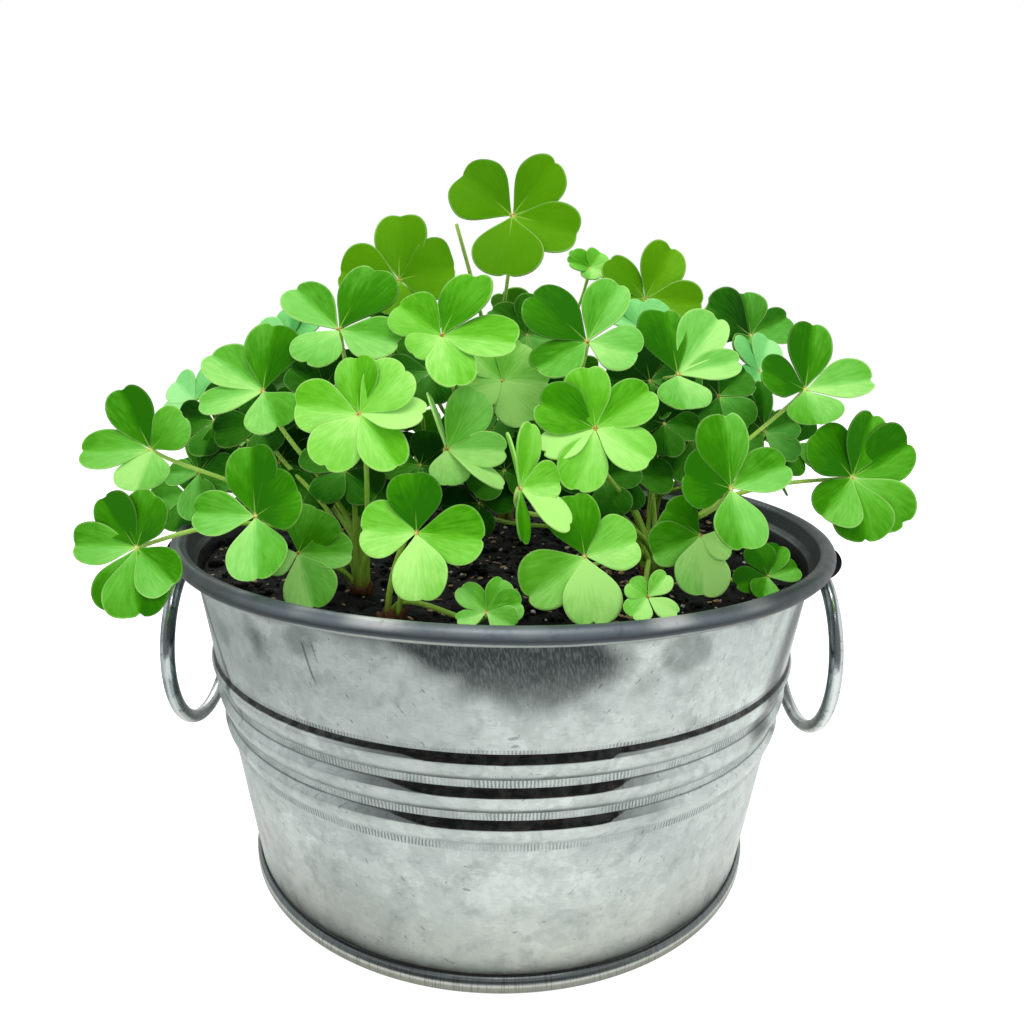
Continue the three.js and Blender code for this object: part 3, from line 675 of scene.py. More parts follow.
def makeSoil(earth):
    draw = random.Random(soil["seed"])
    patch = newPatch("kind")
    reach = innerWall(soil["edge"]) - soil["gap"]
    addBed(patch, reach)
    shapes = {1: stone(1), 2: stone(2)}
    for count, level, (small, large), stretch, flat, kind in strewn:
        ball, sides = shapes[level]
        for _ in range(count):
            spread = reach * soil["strewnReach"] * math.sqrt(draw.random())
            x, y, _ = polar(spread, draw.uniform(0, 2 * math.pi))
            size = small + (large - small) * draw.random() ** 2
            length = size * draw.uniform(*stretch)
            spin = Matrix.Rotation(draw.uniform(0, 6.28), 3, "Z")
            tilt = Matrix.Rotation(draw.uniform(-soil["lean"], soil["lean"]), 3, "X")
            place = Vector((x, y, soilHeight(x, y) + size * flat * soil["sunk"]))
            seed = Vector((draw.uniform(0, 99), draw.uniform(0, 99), 0))
            lump = []
            for p in ball:
                rough = 1 + soil["rough"] * noise.noise(p * soil["roughScale"] + seed)
                grown = Vector((p.x * length, p.y * size, p.z * size * flat))
                lump.append(place + spin @ tilt @ grown * rough)
            # A lump that would reach into the wall moves inwards
            edge = math.hypot(x, y) + length
            if edge > reach:
                lump = [p - Vector((x, y, 0)).normalized() * (edge - reach) for p in lump]
            tone = draw.random() ** 2
            addTo(patch, lump, sides, kind=[(*kind, tone)] * len(lump))
    return makePiece("soilBed", patch, "tub", earth, ["soil"])


# Plant
plant = {
    "crownHigh": 99, "footSpread": 1.6, "footTurn": 137, "footDepth": 3,
    "riseShare": 0.45, "neckBack": 0.2, "neckDrop": 0.18,
    "stalkLow": 0.8, "stalkHigh": 0.52, "stalkTip": 0.75, "stalkSides": 10, "stalkSteps": 26,
    "swellFrom": 0.94, "woodyShare": 0.09, "wobble": 0.05, "wobbles": (9, 20), "seatBack": 0.2,
    "underSeed": 5, "underSway": 9, "underShort": 0.84,
    "bareTop": (-15, -10, 194), "bareRise": 40, "bareKnee": 0.55, "bareBend": (3, 3, 10),
    "scales": 5, "scaleSway": 0.3, "scaleTall": (1.6, 3.2), "scaleOut": (1.8, 2.8),
    "scaleLean": (0.1, 0.5), "scaleSize": (0.9, 1.5), "scaleDrop": 1.6,
}
crowns = {
    "leftFront": (-37, -50), "front": (-26, -71), "rightFront": (42, -34), "leftBack": (-56, 22),
    "rightBack": (54, 38), "back": (0, 26), "backLeft": (-32, 58), "backRight": (32, 58),
}
sprays = ("backLeft", "backRight")

# One row a leaf: crown, hub, which way its face looks (turn from the front towards +X, lift above
# level), reach of its longest leaflet, tone, and its leaflets as (bearing, share of the reach, the
# widths of its two halves as shares of its length, roll). Bearings run anticlockwise from the leaf's
# right, and the anticlockwise half comes first. Two more entries bend a stalk clear of others.
leaves = [
    # Front, low
    ("front", (-19, -78, 120), -4, 24, 16, "fresh",
     ((95, 0.85), (180, 0.8, 0.5, 0.55), (280, 1, 0.4, 0.4), (355, 1, 0.45, 0.4))),
    ("rightFront", (19.5, -72, 113.5), 4, 24, 17.5, "fresh",
     ((100, 0.85, 0.5, 0.35), (15, 0.75, 0.6, 0.45), (275, 0.95, 0.45, 0.4), (215, 1, 0.35, 0.45))),
    ("rightFront", (54, -66, 129), 12, 24, 18, "mid",
     ((95, 1, 0.45, 0.3), (165, 0.75, 0.55, 0.55), (20, 0.9, 0.4, 0.3), (270, 0.85, 0.5, 0.45))),
    ("leftFront", (-58, -69, 121), -10, 24, 17.5, "mid",
     ((100, 1, 0.4, 0.4), (30, 0.75, 0.6, 0.6), (180, 0.9, 0.35, 0.35), (285, 0.9, 0.5, 0.45)),
     (-6, 12, 0), (3, 10, -6)),
    ("leftFront", (-50.5, -61, 110), -6, 22, 15.5, "mid",
     ((70, 0.8, 0.5, 0.7), (0, 0.95, 0.4, 0.25), (295, 1, 0.5, 0.4), (205, 0.55))),
    ("rightFront", (50, -56, 115), 8, 22, 16, "mid",
     ((145, 0.75, 0.6, 0.5), (200, 0.95, 0.3, 0.45), (265, 1, 0.45, 0.5), (330, 0.55))),
    ("front", (-3, -84, 103.5), 0, 45, 8.5, "mid",
     ((135, 1, 0.4, 0.4), (65, 1, 0.3, 0.45), (15, 1), (200, 0.85, 0.4, 0.25), (330, 0.9))),
    ("rightFront", (34, -76, 105), 6, 45, 8, "fresh",
     ((140, 0.7, 0.65, 0.65), (45, 0.95, 0.35, 0.4), (325, 1, 0.25, 0.4), (230, 0.95))),
    ("rightFront", (71, -46.5, 101.5), 10, 48, 12, "mid",
     ((195, 0.95, 0.3, 0.35), (100, 0.8), (55, 0.9, 0.45, 0.3), (10, 0.75), (240, 0.8))),
    # Overhanging the rim
    ("leftFront", (-90, -62, 111), -8, 16, 17.5, "mid",
     ((125, 0.85, 0.35, 0.45), (65, 0.85, 0.45, 0.4), (180, 0.95, 0.3, 0.35), (255, 1, 0.35, 0.35),
      (325, 0.85, 0.4, 0.45), (285, 1)), (-14, 4, 2), (13, 7, 4)),
    ("rightFront", (95, -36, 127), 8, 16, 19, "mid",
     ((135, 0.9), (75, 0.95, 0.35, 0.35), (30, 1, 0.45, 0.4), (315, 1, 0.4, 0.35), (275, 0.95),
      (225, 0.8, 0.55, 0.4)), (8, -2, 4), (-16, 4, -3)),
    ("leftFront", (-97, -34, 131), -10, 34, 20.5, "mid",
     ((125, 1, 0.3, 0.3), (45, 0.65, 0.5, 0.55), (190, 0.9, 0.35, 0.35), (275, 0.65, 0.65, 0.6)),
     (-10, 6, -6), (12, 1, -8)),
    ("rightFront", (82, -30, 150), 10, 34, 20.5, "mid",
     ((75, 1, 0.35, 0.3), (160, 0.7, 0.5, 0.5), (5, 0.95, 0.35, 0.25), (275, 0.55, 0.75, 0.7)),
     (8, 0, 0), (-10, 0, -12)),
    # Front, high
    ("leftFront", (-34, -64, 145), -6, 28, 18.5, "fresh",
     ((100, 0.8, 0.35, 0.4), (45, 0.85), (0, 0.9, 0.35, 0.35, -25), (310, 1, 0.3, 0.3),
      (245, 0.85, 0.4, 0.4), (175, 0.85, 0.4, 0.4))),
    ("rightFront", (22, -60, 142), 4, 28, 17.5, "fresh",
     ((95, 0.9, 0.45, 0.3), (155, 0.9, 0.4, 0.45), (205, 0.85, 0.35, 0.35, 25), (250, 1, 0.35, 0.35),
      (325, 0.9, 0.4, 0.4), (35, 1, 0.35, 0.35))),
    ("leftFront", (-14, -57, 136), 20, 22, 17, "mid",
     ((60, 1, 0.3, 0.4), (105, 0.85, 0.35, 0.35, 60), (355, 0.9, 0.3, 0.3), (320, 1, 0.35, 0.35, -55),
      (265, 0.55, 0.6, 0.5))),
    ("rightFront", (4, -75, 130), 36, 22, 15.5, "fresh",
     ((70, 1, 0.25, 0.25), (0, 0.7, 0.5, 0.35), (315, 0.95, 0.35, 0.35, -25),
      (255, 0.85, 0.25, 0.25, -30), (95, 0.85, 0.35, 0.35, 55))),
    ("back", (-16, -47, 163), -6, 40, 20, "fresh",
     ((145, 0.75), (230, 0.5), (70, 1, 0.3, 0.4), (350, 1, 0.45, 0.35), (290, 1, 0.3, 0.3))),
    ("back", (21, -41, 162), 6, 40, 20, "mid",
     ((140, 0.95, 0.5, 0.4), (60, 1, 0.35, 0.25), (335, 0.7, 0.5, 0.55), (215, 0.9, 0.4, 0.3))),
    ("rightBack", (45, -40, 154), 10, 40, 22.5, "mid",
     ((95, 0.85, 0.5, 0.25), (50, 1, 0.35, 0.25), (10, 0.8, 0.25, 0.25), (265, 0.55, 0.6, 0.55)),
     (-8, 0, 16), (-1, 12, -3)),
    ("leftFront", (-44, -36, 164), -10, 40, 20.5, "mid",
     ((140, 1, 0.35, 0.3), (70, 1, 0.3, 0.55), (340, 1, 0.3, 0.35), (245, 0.7, 0.55, 0.55))),
    ("leftFront", (-63, -42, 148), -12, 38, 21, "mid",
     ((150, 1, 0.3, 0.35), (90, 0.9, 0.35, 0.45), (200, 0.8, 0.35, 0.25), (305, 0.7, 0.55, 0.5))),
    # Top
    ("back", (1, -14, 196), 0, 22, 20, "olive",
     ((145, 0.9, 0.6, 0.5), (50, 0.95, 0.35, 0.4), (340, 1, 0.35, 0.4), (265, 1, 0.5, 0.5)),
     (-10, 12, 0)),
    ("leftBack", (-31, -14, 178), -8, 28, 21, "olive",
     ((95, 1, 0.35, 0.4), (175, 0.85, 0.45, 0.5), (10, 0.8, 0.65, 0.6), (275, 0.6))),
    ("rightBack", (44, 16, 175), 10, 26, 19.5, "olive",
     ((130, 0.9, 0.45, 0.3), (60, 1, 0.4, 0.4), (350, 0.95, 0.35, 0.45), (185, 0.85), (255, 0.85))),
    ("back", (27, 28, 185), 20, 44, 9, "fresh", ((120, 1), (50, 1), (175, 0.95), (250, 0.8), (330, 0.8))),
    ("rightBack", (80, 20, 164), 26, 26, 20, "deep",
     ((90, 0.75, 0.6, 0.45), (20, 0.9, 0.3, 0.45), (150, 1), (290, 0.65), (225, 0.65))),
    # Behind the front leaves
    ("back", (6, -6, 163), 0, 34, 17, "deep",
     ((75, 0.85), (145, 0.8), (0, 0.85), (225, 0.9), (285, 0.9))),
    ("front", (-1, -29, 151), 10, 34, 15.5, "fresh",
     ((60, 0.8), (295, 1), (350, 0.85), (135, 0.7), (210, 0.85))),
    ("leftBack", (-89, -22, 122.5), -16, 30, 16.5, "deep",
     ((110, 0.9, 0.2, 0.25), (55, 1, 0.35, 0.35), (355, 0.85), (290, 0.9), (185, 0.6))),
    ("rightBack", (75, -20, 137), 14, 30, 17, "deep",
     ((140, 1, 0.25, 0.35), (90, 0.9, 0.2, 0.2), (15, 0.65), (315, 0.7, 0.35, 0.45), (200, 0.65))),
    ("leftBack", (-98, 2, 141), -36, 36, 14, "pale", ((70, 1), (155, 0.95), (310, 0.8), (225, 0.9))),
    ("rightBack", (79.5, 6, 153), 36, 36, 14, "pale",
     ((125, 0.95), (50, 1), (210, 0.9), (320, 0.9)), (-6, -4, 0), (-9, 3, -14)),
    ("leftBack", (-68, 6, 160), -26, 38, 14.5, "pale",
     ((110, 0.9), (175, 1), (40, 0.9), (250, 0.9), (325, 0.8))),
    ("back", (39, -6, 166), 10, 50, 13.5, "pale",
     ((95, 0.8), (30, 1), (165, 0.9), (240, 0.9), (310, 0.9))),
    ("leftBack", (-66, -20, 126), -10, 34, 16, "deep",
     ((70, 0.85), (150, 0.75), (0, 0.95), (240, 0.85), (300, 1))),
    ("rightBack", (54, -18, 134), 10, 34, 16, "deep",
     ((100, 0.8), (25, 0.75), (175, 0.85), (235, 1), (300, 0.85))),
    # Sides
    ("leftBack", (-90, 19, 120), -84, 30, 20.5, "mid", ((155, 1), (270, 0.1), (150, 0.35), (240, 0.9))),
    ("rightBack", (88, 18, 121), 80, 30, 14, "mid", ((65, 1), (70, 0.15), (280, 0.25), (270, 0.9))),
    # Back half of the plant
    ("backLeft", (-84, 47, 131), -118, 40, 16, "mid",
     ((90, 1), (165, 0.9), (20, 0.9), (240, 0.95), (310, 0.95))),
    ("backLeft", (-60, 64, 124), -140, 32, 15.5, "mid", ((95, 1), (10, 0.9), (185, 0.95), (275, 1))),
    ("backLeft", (-30, 80, 120), -162, 30, 15, "fresh", ((60, 0.95), (145, 1), (235, 0.9), (325, 1))),
    ("backLeft", (-70, 30, 149), -128, 48, 16, "fresh",
     ((85, 1), (155, 0.9), (15, 0.95), (230, 0.95), (300, 0.9))),
    ("backLeft", (-44, 52, 146), -150, 44, 15.5, "mid", ((90, 1), (10, 0.95), (175, 1), (270, 0.95))),
    ("backLeft", (-12, 60, 147), -172, 44, 16, "mid", ((120, 1), (40, 0.9), (200, 0.95), (300, 1))),
    ("backLeft", (-34, 28, 165), -150, 58, 15, "fresh", ((80, 0.95), (0, 1), (165, 1), (260, 0.95))),
    ("backRight", (86, 40, 134), 118, 40, 16, "mid",
     ((80, 0.95), (155, 1), (10, 0.95), (235, 0.9), (300, 1))),
    ("backRight", (62, 64, 126), 142, 32, 15.5, "fresh", ((100, 1), (10, 0.9), (190, 0.95), (280, 0.95))),
    ("backRight", (35, 80, 122), 160, 30, 15, "mid", ((75, 1), (160, 0.9), (245, 1), (345, 0.95))),
    ("backRight", (3, 84.5, 118), 178, 28, 15, "fresh",
     ((90, 0.95), (20, 1), (160, 0.9), (235, 1), (305, 0.9))),
    ("backRight", (54, 42, 150), 140, 46, 16, "fresh",
     ((80, 1), (150, 0.9), (5, 0.9), (225, 1), (295, 0.9))),
    ("backRight", (20, 56, 149), 168, 44, 15.5, "mid", ((95, 0.95), (5, 1), (185, 0.9), (275, 1))),
    ("backRight", (6, 32, 168), 172, 56, 15, "mid", ((60, 1), (145, 0.95), (230, 0.95), (325, 0.95))),
]

# Small shaded leaves fill the clump behind the front ones: crown, hub, turn, lift and reach
underLeaves = [
    ("leftFront", (-41.6, -45, 128), -8, 34, 13), ("leftFront", (-36, -38, 124), 4, 30, 12),
    ("leftFront", (-52, -30, 122), -16, 34, 12), ("leftFront", (-22.5, -40, 129), 6, 32, 11.5),
    ("back", (-21, -25, 153), -4, 36, 14), ("leftBack", (-86, -15, 137), -20, 34, 14),
    ("leftFront", (-69, -25, 137), -14, 36, 14), ("leftFront", (-52, -20, 147), -10, 38, 15),
    ("leftBack", (-61, -14, 128), -6, 30, 15), ("back", (8, -25, 146), 4, 36, 14),
    ("rightFront", (0, -35, 127), 0, 32, 12), ("rightFront", (-6.6, -36, 118), -6, 30, 11),
    ("rightFront", (26, -40, 126), 8, 32, 13), ("rightFront", (35, -34, 126), 14, 34, 12),
    ("rightFront", (20.5, -41, 120), 2, 30, 11), ("rightFront", (41, -21, 151), 10, 38, 15),
    ("rightBack", (61, -20, 147), 16, 36, 14), ("rightBack", (58, -11, 139), 8, 32, 14),
    ("rightBack", (67, -14, 134), 18, 34, 14), ("rightFront", (44, -30, 140), 12, 36, 11),
    ("leftBack", (-98, -8, 113), -24, 34, 13.5), ("rightBack", (91, 1, 131), 22, 34, 13),
    ("back", (-40, 6, 132), -12, 36, 15), ("back", (36, 8, 140), 12, 38, 15),
    ("back", (-2, 4, 138), 0, 36, 15), ("leftFront", (-30, -28, 145), -6, 34, 12),
    ("rightFront", (13, -25, 133), 4, 34, 12), ("leftFront", (-32, -30, 137), 4, 32, 11),
]

# How light a leaf is, or each of its leaflets in the order of its row, from 0, deep, to 1, pale: painted
# light and shade by how each leaflet faces the light, over the leaf's own tone
leafShade = {
    1: (0.25, 0.7, 0.8, 0.45), 2: (0.45, 0.8, 0.75, 0.75), 3: (0.5, 0.1, 0.25, 0.4),
    4: (0.25, 0.35, 0.3, 0.65), 5: (0.55, 0.65, 0.78, 0.55), 6: (0.35, 0.55, 0.9, 0.65), 7: 0.7, 8: 0.85,
    9: 0.3, 10: (0.05, 0.4, 0.3, -0.1, 0.45, 0.0), 11: (0.35, 0.35, 0.05, 0.2, 0.15, 0.2),
    12: (0.1, 0.7, 0.4, 0.6), 13: (0.1, 0.2, 0.55, 0.4), 14: (0.6, 0.9, 0.8, 0.65, 0.6, 0.7),
    15: (0.65, 0.3, 0.55, 0.55, 0.6, 0.7), 16: (0.72, 0.66, 0.75, 0.8, 0.75),
    17: (0.75, 0.75, 0.6, 0.35, 0.8), 18: 0.52, 19: (0.3, 0.6, 0.6, 0.3),
    20: (0.3, 0.9, 0.65, 0.6), 21: (0.55, 0.45, 0.75, 0.55),
    22: (0.5, 0.35, 0.5, 0.35), 23: (0.35, 0.5, 0.4, 0.2), 24: 0.5, 25: 0.6, 26: 0.6, 27: 0.5, 28: 0.55,
    29: 0.9, 30: 0.5, 31: 0.5, 32: 0.7, 33: 0.65, 34: 0.7, 35: 0.8, 36: 0.2, 37: 0.2,
}
# How much painted bluish sheen a leaf has, from 0 to 1. The others draw a little.
leafSheen = {
    3: 0.35, 4: 0.35, 5: 0.15, 6: 0.1, 10: 0.3, 14: 0, 16: 0.15, 17: 0, 18: 0, 19: 0.3, 20: 0.35, 21: 0.3,
    22: 0.3, 23: 0, 24: 0, 25: 0, 29: 0,
}
blade = {
    "shoulder": (0.62, 1), "notch": (0.96, 0), "hubHandles": ((0.25, 0.46), (0.38, 1)),
    "notchHandles": ((0.84, 1), (1.03, 0.6)), "curveSteps": (60, 50),
    "hubStart": 0.025, "hubWidth": 0.035, "wide": 0.46, "fold": 0.16, "foldRound": 0.045, "droop": 0.5,
    "cup": 0.24, "arch": 0.1, "tilt": 5, "tiltCrowded": 9, "sway": 5, "along": 24, "across": 6,
    "crowding": 1.25, "thickness": 0.42, "wave": 0.014, "waves": (5, 11), "curl": 0.02, "curlWaves": 6,
    "notchDepth": 0.05, "notchWidth": 0.04, "notchShift": 0.05, "notchFrom": 0.7,
    "shadeSlope": 1.5, "shadeFold": 0.6, "shadeSoft": 0.03, "sideLight": 0.9, "sideReach": 55,
    "shadeSpread": 0.06, "backShade": (0.35, 0.62), "underShade": (0.02, 0.34), "anySheen": 0.3,
    "heart": (0.5, 0.35, 0.2), "seed": 100,
}
# A leaf's colours from deep to pale, by the name of its tone: the deep end is painted shade, the pale end
# painted light, and the deep tone is darker as painted shade inside the clump
tones = {
    "fresh": ((0.0, (34, 104, 4)), (0.25, (58, 138, 4)), (0.5, (94, 178, 32)), (0.75, (130, 208, 78)),
              (1.0, (174, 234, 124))),
    "mid": ((0.0, (34, 102, 2)), (0.25, (54, 130, 4)), (0.5, (90, 172, 40)), (0.75, (126, 202, 86)),
            (1.0, (172, 230, 124))),
    "deep": ((0.0, (16, 60, 5)), (0.25, (36, 102, 10)), (0.5, (64, 134, 22)), (0.75, (94, 176, 60)),
             (1.0, (134, 212, 98))),
    "olive": ((0.0, (62, 122, 2)), (0.25, (74, 136, 2)), (0.5, (82, 144, 4)), (0.75, (94, 157, 10)),
              (1.0, (112, 176, 36))),
    "pale": ((0.0, (56, 136, 60)), (0.25, (84, 168, 84)), (0.5, (108, 194, 102)), (0.75, (132, 214, 124)),
             (1.0, (160, 230, 146))),
}
# The same for every leaf: the colours of the painted bluish sheen, midrib, edge, heart and its brown middle
leafTones = {
    "bluishSheen": (paint(42, 116, 50), paint(132, 216, 128)), "rib": paint(190, 226, 110),
    "rim": paint(204, 244, 150), "heart": paint(190, 204, 96),
    "middle": (paint(150, 112, 50), paint(222, 214, 130)),
}
# Up a stalk from its foot, and its fibres, flush and woody foot
stalkTones = [
    (0.0, paint(132, 128, 52)), (0.06, paint(132, 178, 44)), (0.6, paint(150, 204, 64)),
    (1.0, paint(192, 230, 120)),
]
stalkMarks = {
    "fibre": paint(188, 216, 120), "flush": paint(136, 110, 56),
    "woody": (paint(52, 32, 20), paint(118, 78, 48)),
}


def leafSurface(tone):
    # Per point: a leaflet's painted light and shade there, its painted bluish sheen, and which draw its
    # pattern comes from
    material = surface("leaf" + tone.capitalize())
    u, v, edge = split(attribute("blade"))
    shade, sheen, own = split(attribute("tint"))
    # Veins fan out from the hub: fine round it, long away from it
    bearing = calc("ARCTAN2", v, plus(u, 0.06))
    reach = calc("SQRT", timesPlus(u, u, times(v, v)))
    veins = grain(join(times(bearing, 12.0), times(reach, 2.6), times(own, 40.0)), 1.5, 4.0, 0.6)
    clouds = grain(join(u, v, times(own, 9.0)), 3.2, 3.0, 0.55)
    level = stirred(stirred(shade, veins, 0.38), clouds, 0.22)
    level = plus(level, ease(reach, 0.3, 0.02, 0.0, 0.1))
    base = ramp(level, [(place, paint(*colour)) for place, colour in tones[tone]])
    bluishSheen = blend(level, *leafTones["bluishSheen"])
    base = blend(times(sheen, ease(level, 0.2, 0.7, 0.0, 0.5)), base, bluishSheen)
    # A pale midrib near the hub, a thin pale edge and the yellow-brown heart
    rib = times(ease(absolute(v), 0.012, 0.002), ease(u, 0.42, 0.08))
    base = blend(times(rib, 0.4), base, leafTones["rib"])
    rim = times(ease(edge, 0.03, 0.006), ease(level, 0.05, 0.6, 0.15, 0.6))
    base = blend(rim, base, blend(0.55, base, leafTones["rim"]))
    base = blend(ease(reach, 0.07, 0.025), base, leafTones["heart"])
    brown = ease(grain(objectPlace(), 900.0), 0.4, 0.6)
    base = blend(ease(reach, 0.03, 0.02), base, blend(brown, *leafTones["middle"]))
    finish(Base_Color=base, Roughness=ease(clouds, 0.3, 0.7, 0.4, 0.52), Specular_IOR_Level=0.03,
           Normal=bump(0.22, 0.00012, veins))
    return material


def stalkSurface():
    material = surface("stalkSkin")
    along, woody, own = split(attribute("blade"))
    fibres = grain(stretched(objectPlace(), (1.0, 1.0, 0.12)), 1600.0, 3.0, 0.5)
    green = ramp(along, stalkTones)
    green = blend(ease(fibres, 0.35, 0.7, 0.0, 0.35), green, stalkMarks["fibre"])
    green = blend(times(own, 0.12), green, stalkMarks["flush"])
    base = blend(woody, green, blend(fibres, *stalkMarks["woody"]))
    finish(Base_Color=base, Roughness=0.5, Specular_IOR_Level=0.12)
    return material


def facing(turn, lift):
    # The leaf's right, up and outward directions
    turn, lift = math.radians(turn), math.radians(lift)
    right = Vector((math.cos(turn), math.sin(turn), 0))
    out = Vector((math.sin(turn) * math.cos(lift), -math.cos(turn) * math.cos(lift), math.sin(lift)))
    return right, out.cross(right), out


def halfOutline():
    # From the hub to the notch for a leaflet of length 1 and half width 1, at even steps
    start = Vector((blade["hubStart"], blade["hubWidth"]))
    shoulder, notch = Vector(blade["shoulder"]), Vector(blade["notch"])
    first, second = (Vector(handle) for handle in blade["hubHandles"])
    third, fourth = (Vector(handle) for handle in blade["notchHandles"])
    rising, falling = blade["curveSteps"]
    fine = [bezier(start, first, second, shoulder, i / rising) for i in range(rising)]
    fine += [bezier(shoulder, third, fourth, notch, i / falling) for i in range(falling + 1)]
    lengths = [0]
    for a, b in zip(fine, fine[1:]):
        lengths.append(lengths[-1] + math.hypot(b.x - a.x, (b.y - a.y) * blade["wide"]))
    even, k = [], 0
    for i in range(blade["along"] + 1):
        goal = lengths[-1] * i / blade["along"]
        while k < len(fine) - 2 and lengths[k + 1] < goal:
            k += 1
        even.append(fine[k].lerp(fine[k + 1], (goal - lengths[k]) / (lengths[k + 1] - lengths[k])))
    return even


edgeLine = halfOutline()


def leafletEdges(halves, broad, small, notch, shift):
    # Both sides of the outline, with ripples and a notch of its own
    edges = {}
    for side in (1, -1):
        for a, p in enumerate(edgeLine):
            u, v = p.x, p.y * halves[side] * side
            spread = math.atan2(v, u)
            ripple = broad[0] * math.sin(blade["waves"][0] * spread + broad[1])
            ripple += small[0] * math.sin(blade["waves"][1] * spread + small[1])
            u, v = u * (1 + blade["wave"] * ripple), v * (1 + blade["wave"] * ripple)
            if u > blade["notchFrom"]:
                u -= notch * math.exp(-((v - shift) / blade["notchWidth"]) ** 2)
            edges[side, a] = Vector((u, v))
    return edges


def bladeHeight(u, v, outward, roll, nod, tilt, curl):
    # How far a point stands out of the leaf's plane: cup, fold, roll, lap and curled edge
    wide = math.sqrt(v * v + blade["foldRound"] ** 2) - blade["foldRound"]
    z = (blade["cup"] + nod - blade["arch"] * u) * u
    z += blade["fold"] * wide * (1 - blade["droop"] * wide)
    z += v * math.sin(roll) - v * tilt * min(1, 2 * u)
    rolling = math.sin(blade["curlWaves"] * math.atan2(v, u) + curl[1]) * curl[0] * u
    return z + blade["curl"] * outward ** 3 * rolling


def bladeShade(u, v, angle, roll, sideways):
    # The slopes of the cup and the fold say how much light from above gets there
    slope = blade["cup"] - 2 * blade["arch"] * u
    lean = blade["shadeFold"] * blade["fold"] * math.tanh(v / blade["shadeSoft"]) + math.sin(roll)
    acrossLeaf = slope * math.cos(angle) - lean * math.sin(angle)
    upLeaf = slope * math.sin(angle) + lean * math.cos(angle)
    return -blade["shadeSlope"] * (upLeaf - sideways * acrossLeaf)


def bladeFaces(index):
    # The faces of both halves of a leaflet, and the border round them
    ahead, across = blade["along"], blade["across"]
    faces = []
    for side in (1, -1):
        for a in range(ahead):
            for b in range(across):
                corners = [index[side, a, b], index[side, a + 1, b],
                           index[side, a + 1, b + 1], index[side, a, b + 1]]
                corners = list(dict.fromkeys(corners))
                faces.append(corners if side > 0 else corners[::-1])
    border = [index[-1, 0, b] for b in range(across, 0, -1)]
    border += [index[1, 0, b] for b in range(across + 1)]
    border += [index[1, a, across] for a in range(1, ahead + 1)]
    border += [index[-1, a, across] for a in range(ahead - 1, 0, -1)]
    return faces, border


def addLeaflet(patch, seat, reach, leaflet, look, draw):
    # Its row gives bearing, share of the reach, the widths of its halves and a roll
    hub, right, up, out = seat
    bearing, share, *form = leaflet
    mean, sheenShare, sideways, tilt = look
    length, angle, sway = reach * share, math.radians(bearing), math.radians(blade["sway"])
    halves = {1: form[0], -1: form[1]} if form else {1: blade["wide"], -1: blade["wide"]}
    roll = math.radians(form[2] if len(form) > 2 else 0) + draw.uniform(-sway, sway)
    nod = draw.uniform(-sway, sway)
    own, lighter = draw.random(), draw.uniform(-blade["shadeSpread"], blade["shadeSpread"])
    broad, small, curl = [(draw.uniform(-1, 1), draw.uniform(0, 6.28)) for _ in range(3)]
    notch = blade["notchDepth"] * draw.random()
    shift = draw.uniform(-blade["notchShift"], blade["notchShift"])
    edges = leafletEdges(halves, broad, small, notch, shift)
    ahead, across = blade["along"], blade["across"]
    tip = edges[1, ahead].x
    points, blades, shadings, index = [], [], [], {}
    for side in (1, -1):
        for a in range(ahead + 1):
            middle = Vector((blade["hubStart"] + (tip - blade["hubStart"]) * a / ahead, 0))
            for b in range(across + 1):
                # Both halves share the midrib, and each has one point at the notch
                if side < 0 and b == 0 or a == ahead and b > 0:
                    index[side, a, b] = index[1, a, 0]
                    continue
                u, v = p = middle.lerp(edges[side, a], 1 - (1 - b / across) ** blade["crowding"])
                z = bladeHeight(u, v, b / across, roll, nod, tilt, curl)
                flat = v * math.cos(roll)
                x = (u * math.cos(angle) - flat * math.sin(angle)) * length
                y = (u * math.sin(angle) + flat * math.cos(angle)) * length
                index[side, a, b] = len(points)
                points.append(hub + right * x + up * y + out * (z * length))
                blades.append((u, v, (edges[side, a] - p).length))
                # Each point holds its painted light and shade from the slopes, the painted bluish sheen and
                # its own draw
                shadings.append((mean + lighter + bladeShade(u, v, angle, roll, sideways), sheenShare, own))
    addBlade(patch, points, *bladeFaces(index), blades, shadings)


def addLeaf(patch, row, number):
    _, hub, turn, lift, reach, _, leaflets = row[:7]
    draw = random.Random(blade["seed"] + number)
    hub = Vector(hub)
    right, up, out = facing(turn, lift)
    # The painted light and shade of each leaflet, from its row in the table or drawn
    shades = draw.uniform(*(blade["underShade"] if number > len(leaves) else blade["backShade"]))
    shades = leafShade.get(number, shades)
    if not isinstance(shades, tuple):
        shades = (shades,) * len(leaflets)
    sheenShare = leafSheen.get(number, draw.uniform(0.0, blade["anySheen"]))
    # Painted light falls from above the middle of the plant, so it comes from the side on leaves away from
    # the middle
    sideways = max(-1, min(1, hub.x / blade["sideReach"])) * blade["sideLight"]
    # Neighbours lap like the blades of a pinwheel, more in a crowded leaf
    lap = blade["tiltCrowded"] if len(leaflets) > 4 else blade["tilt"]
    tilt = math.tan(math.radians(lap)) * draw.choice((1, -1))
    for leaflet, shade in zip(leaflets, shades):
        addLeaflet(patch, (hub, right, up, out), reach, leaflet, (shade, sheenShare, sideways, tilt), draw)
    # The heart is a small dome over the hub
    ball, sides = stone(2)
    size, high, ahead = blade["heart"]
    dome = [hub + (right * p.x + up * p.y) * size + out * (ahead + p.z * high) for p in ball]
    addTo(patch, dome, sides, blade=[(0, 0, 0.5)] * len(dome), tint=[(0.5, sheenShare, 0.5)] * len(dome))


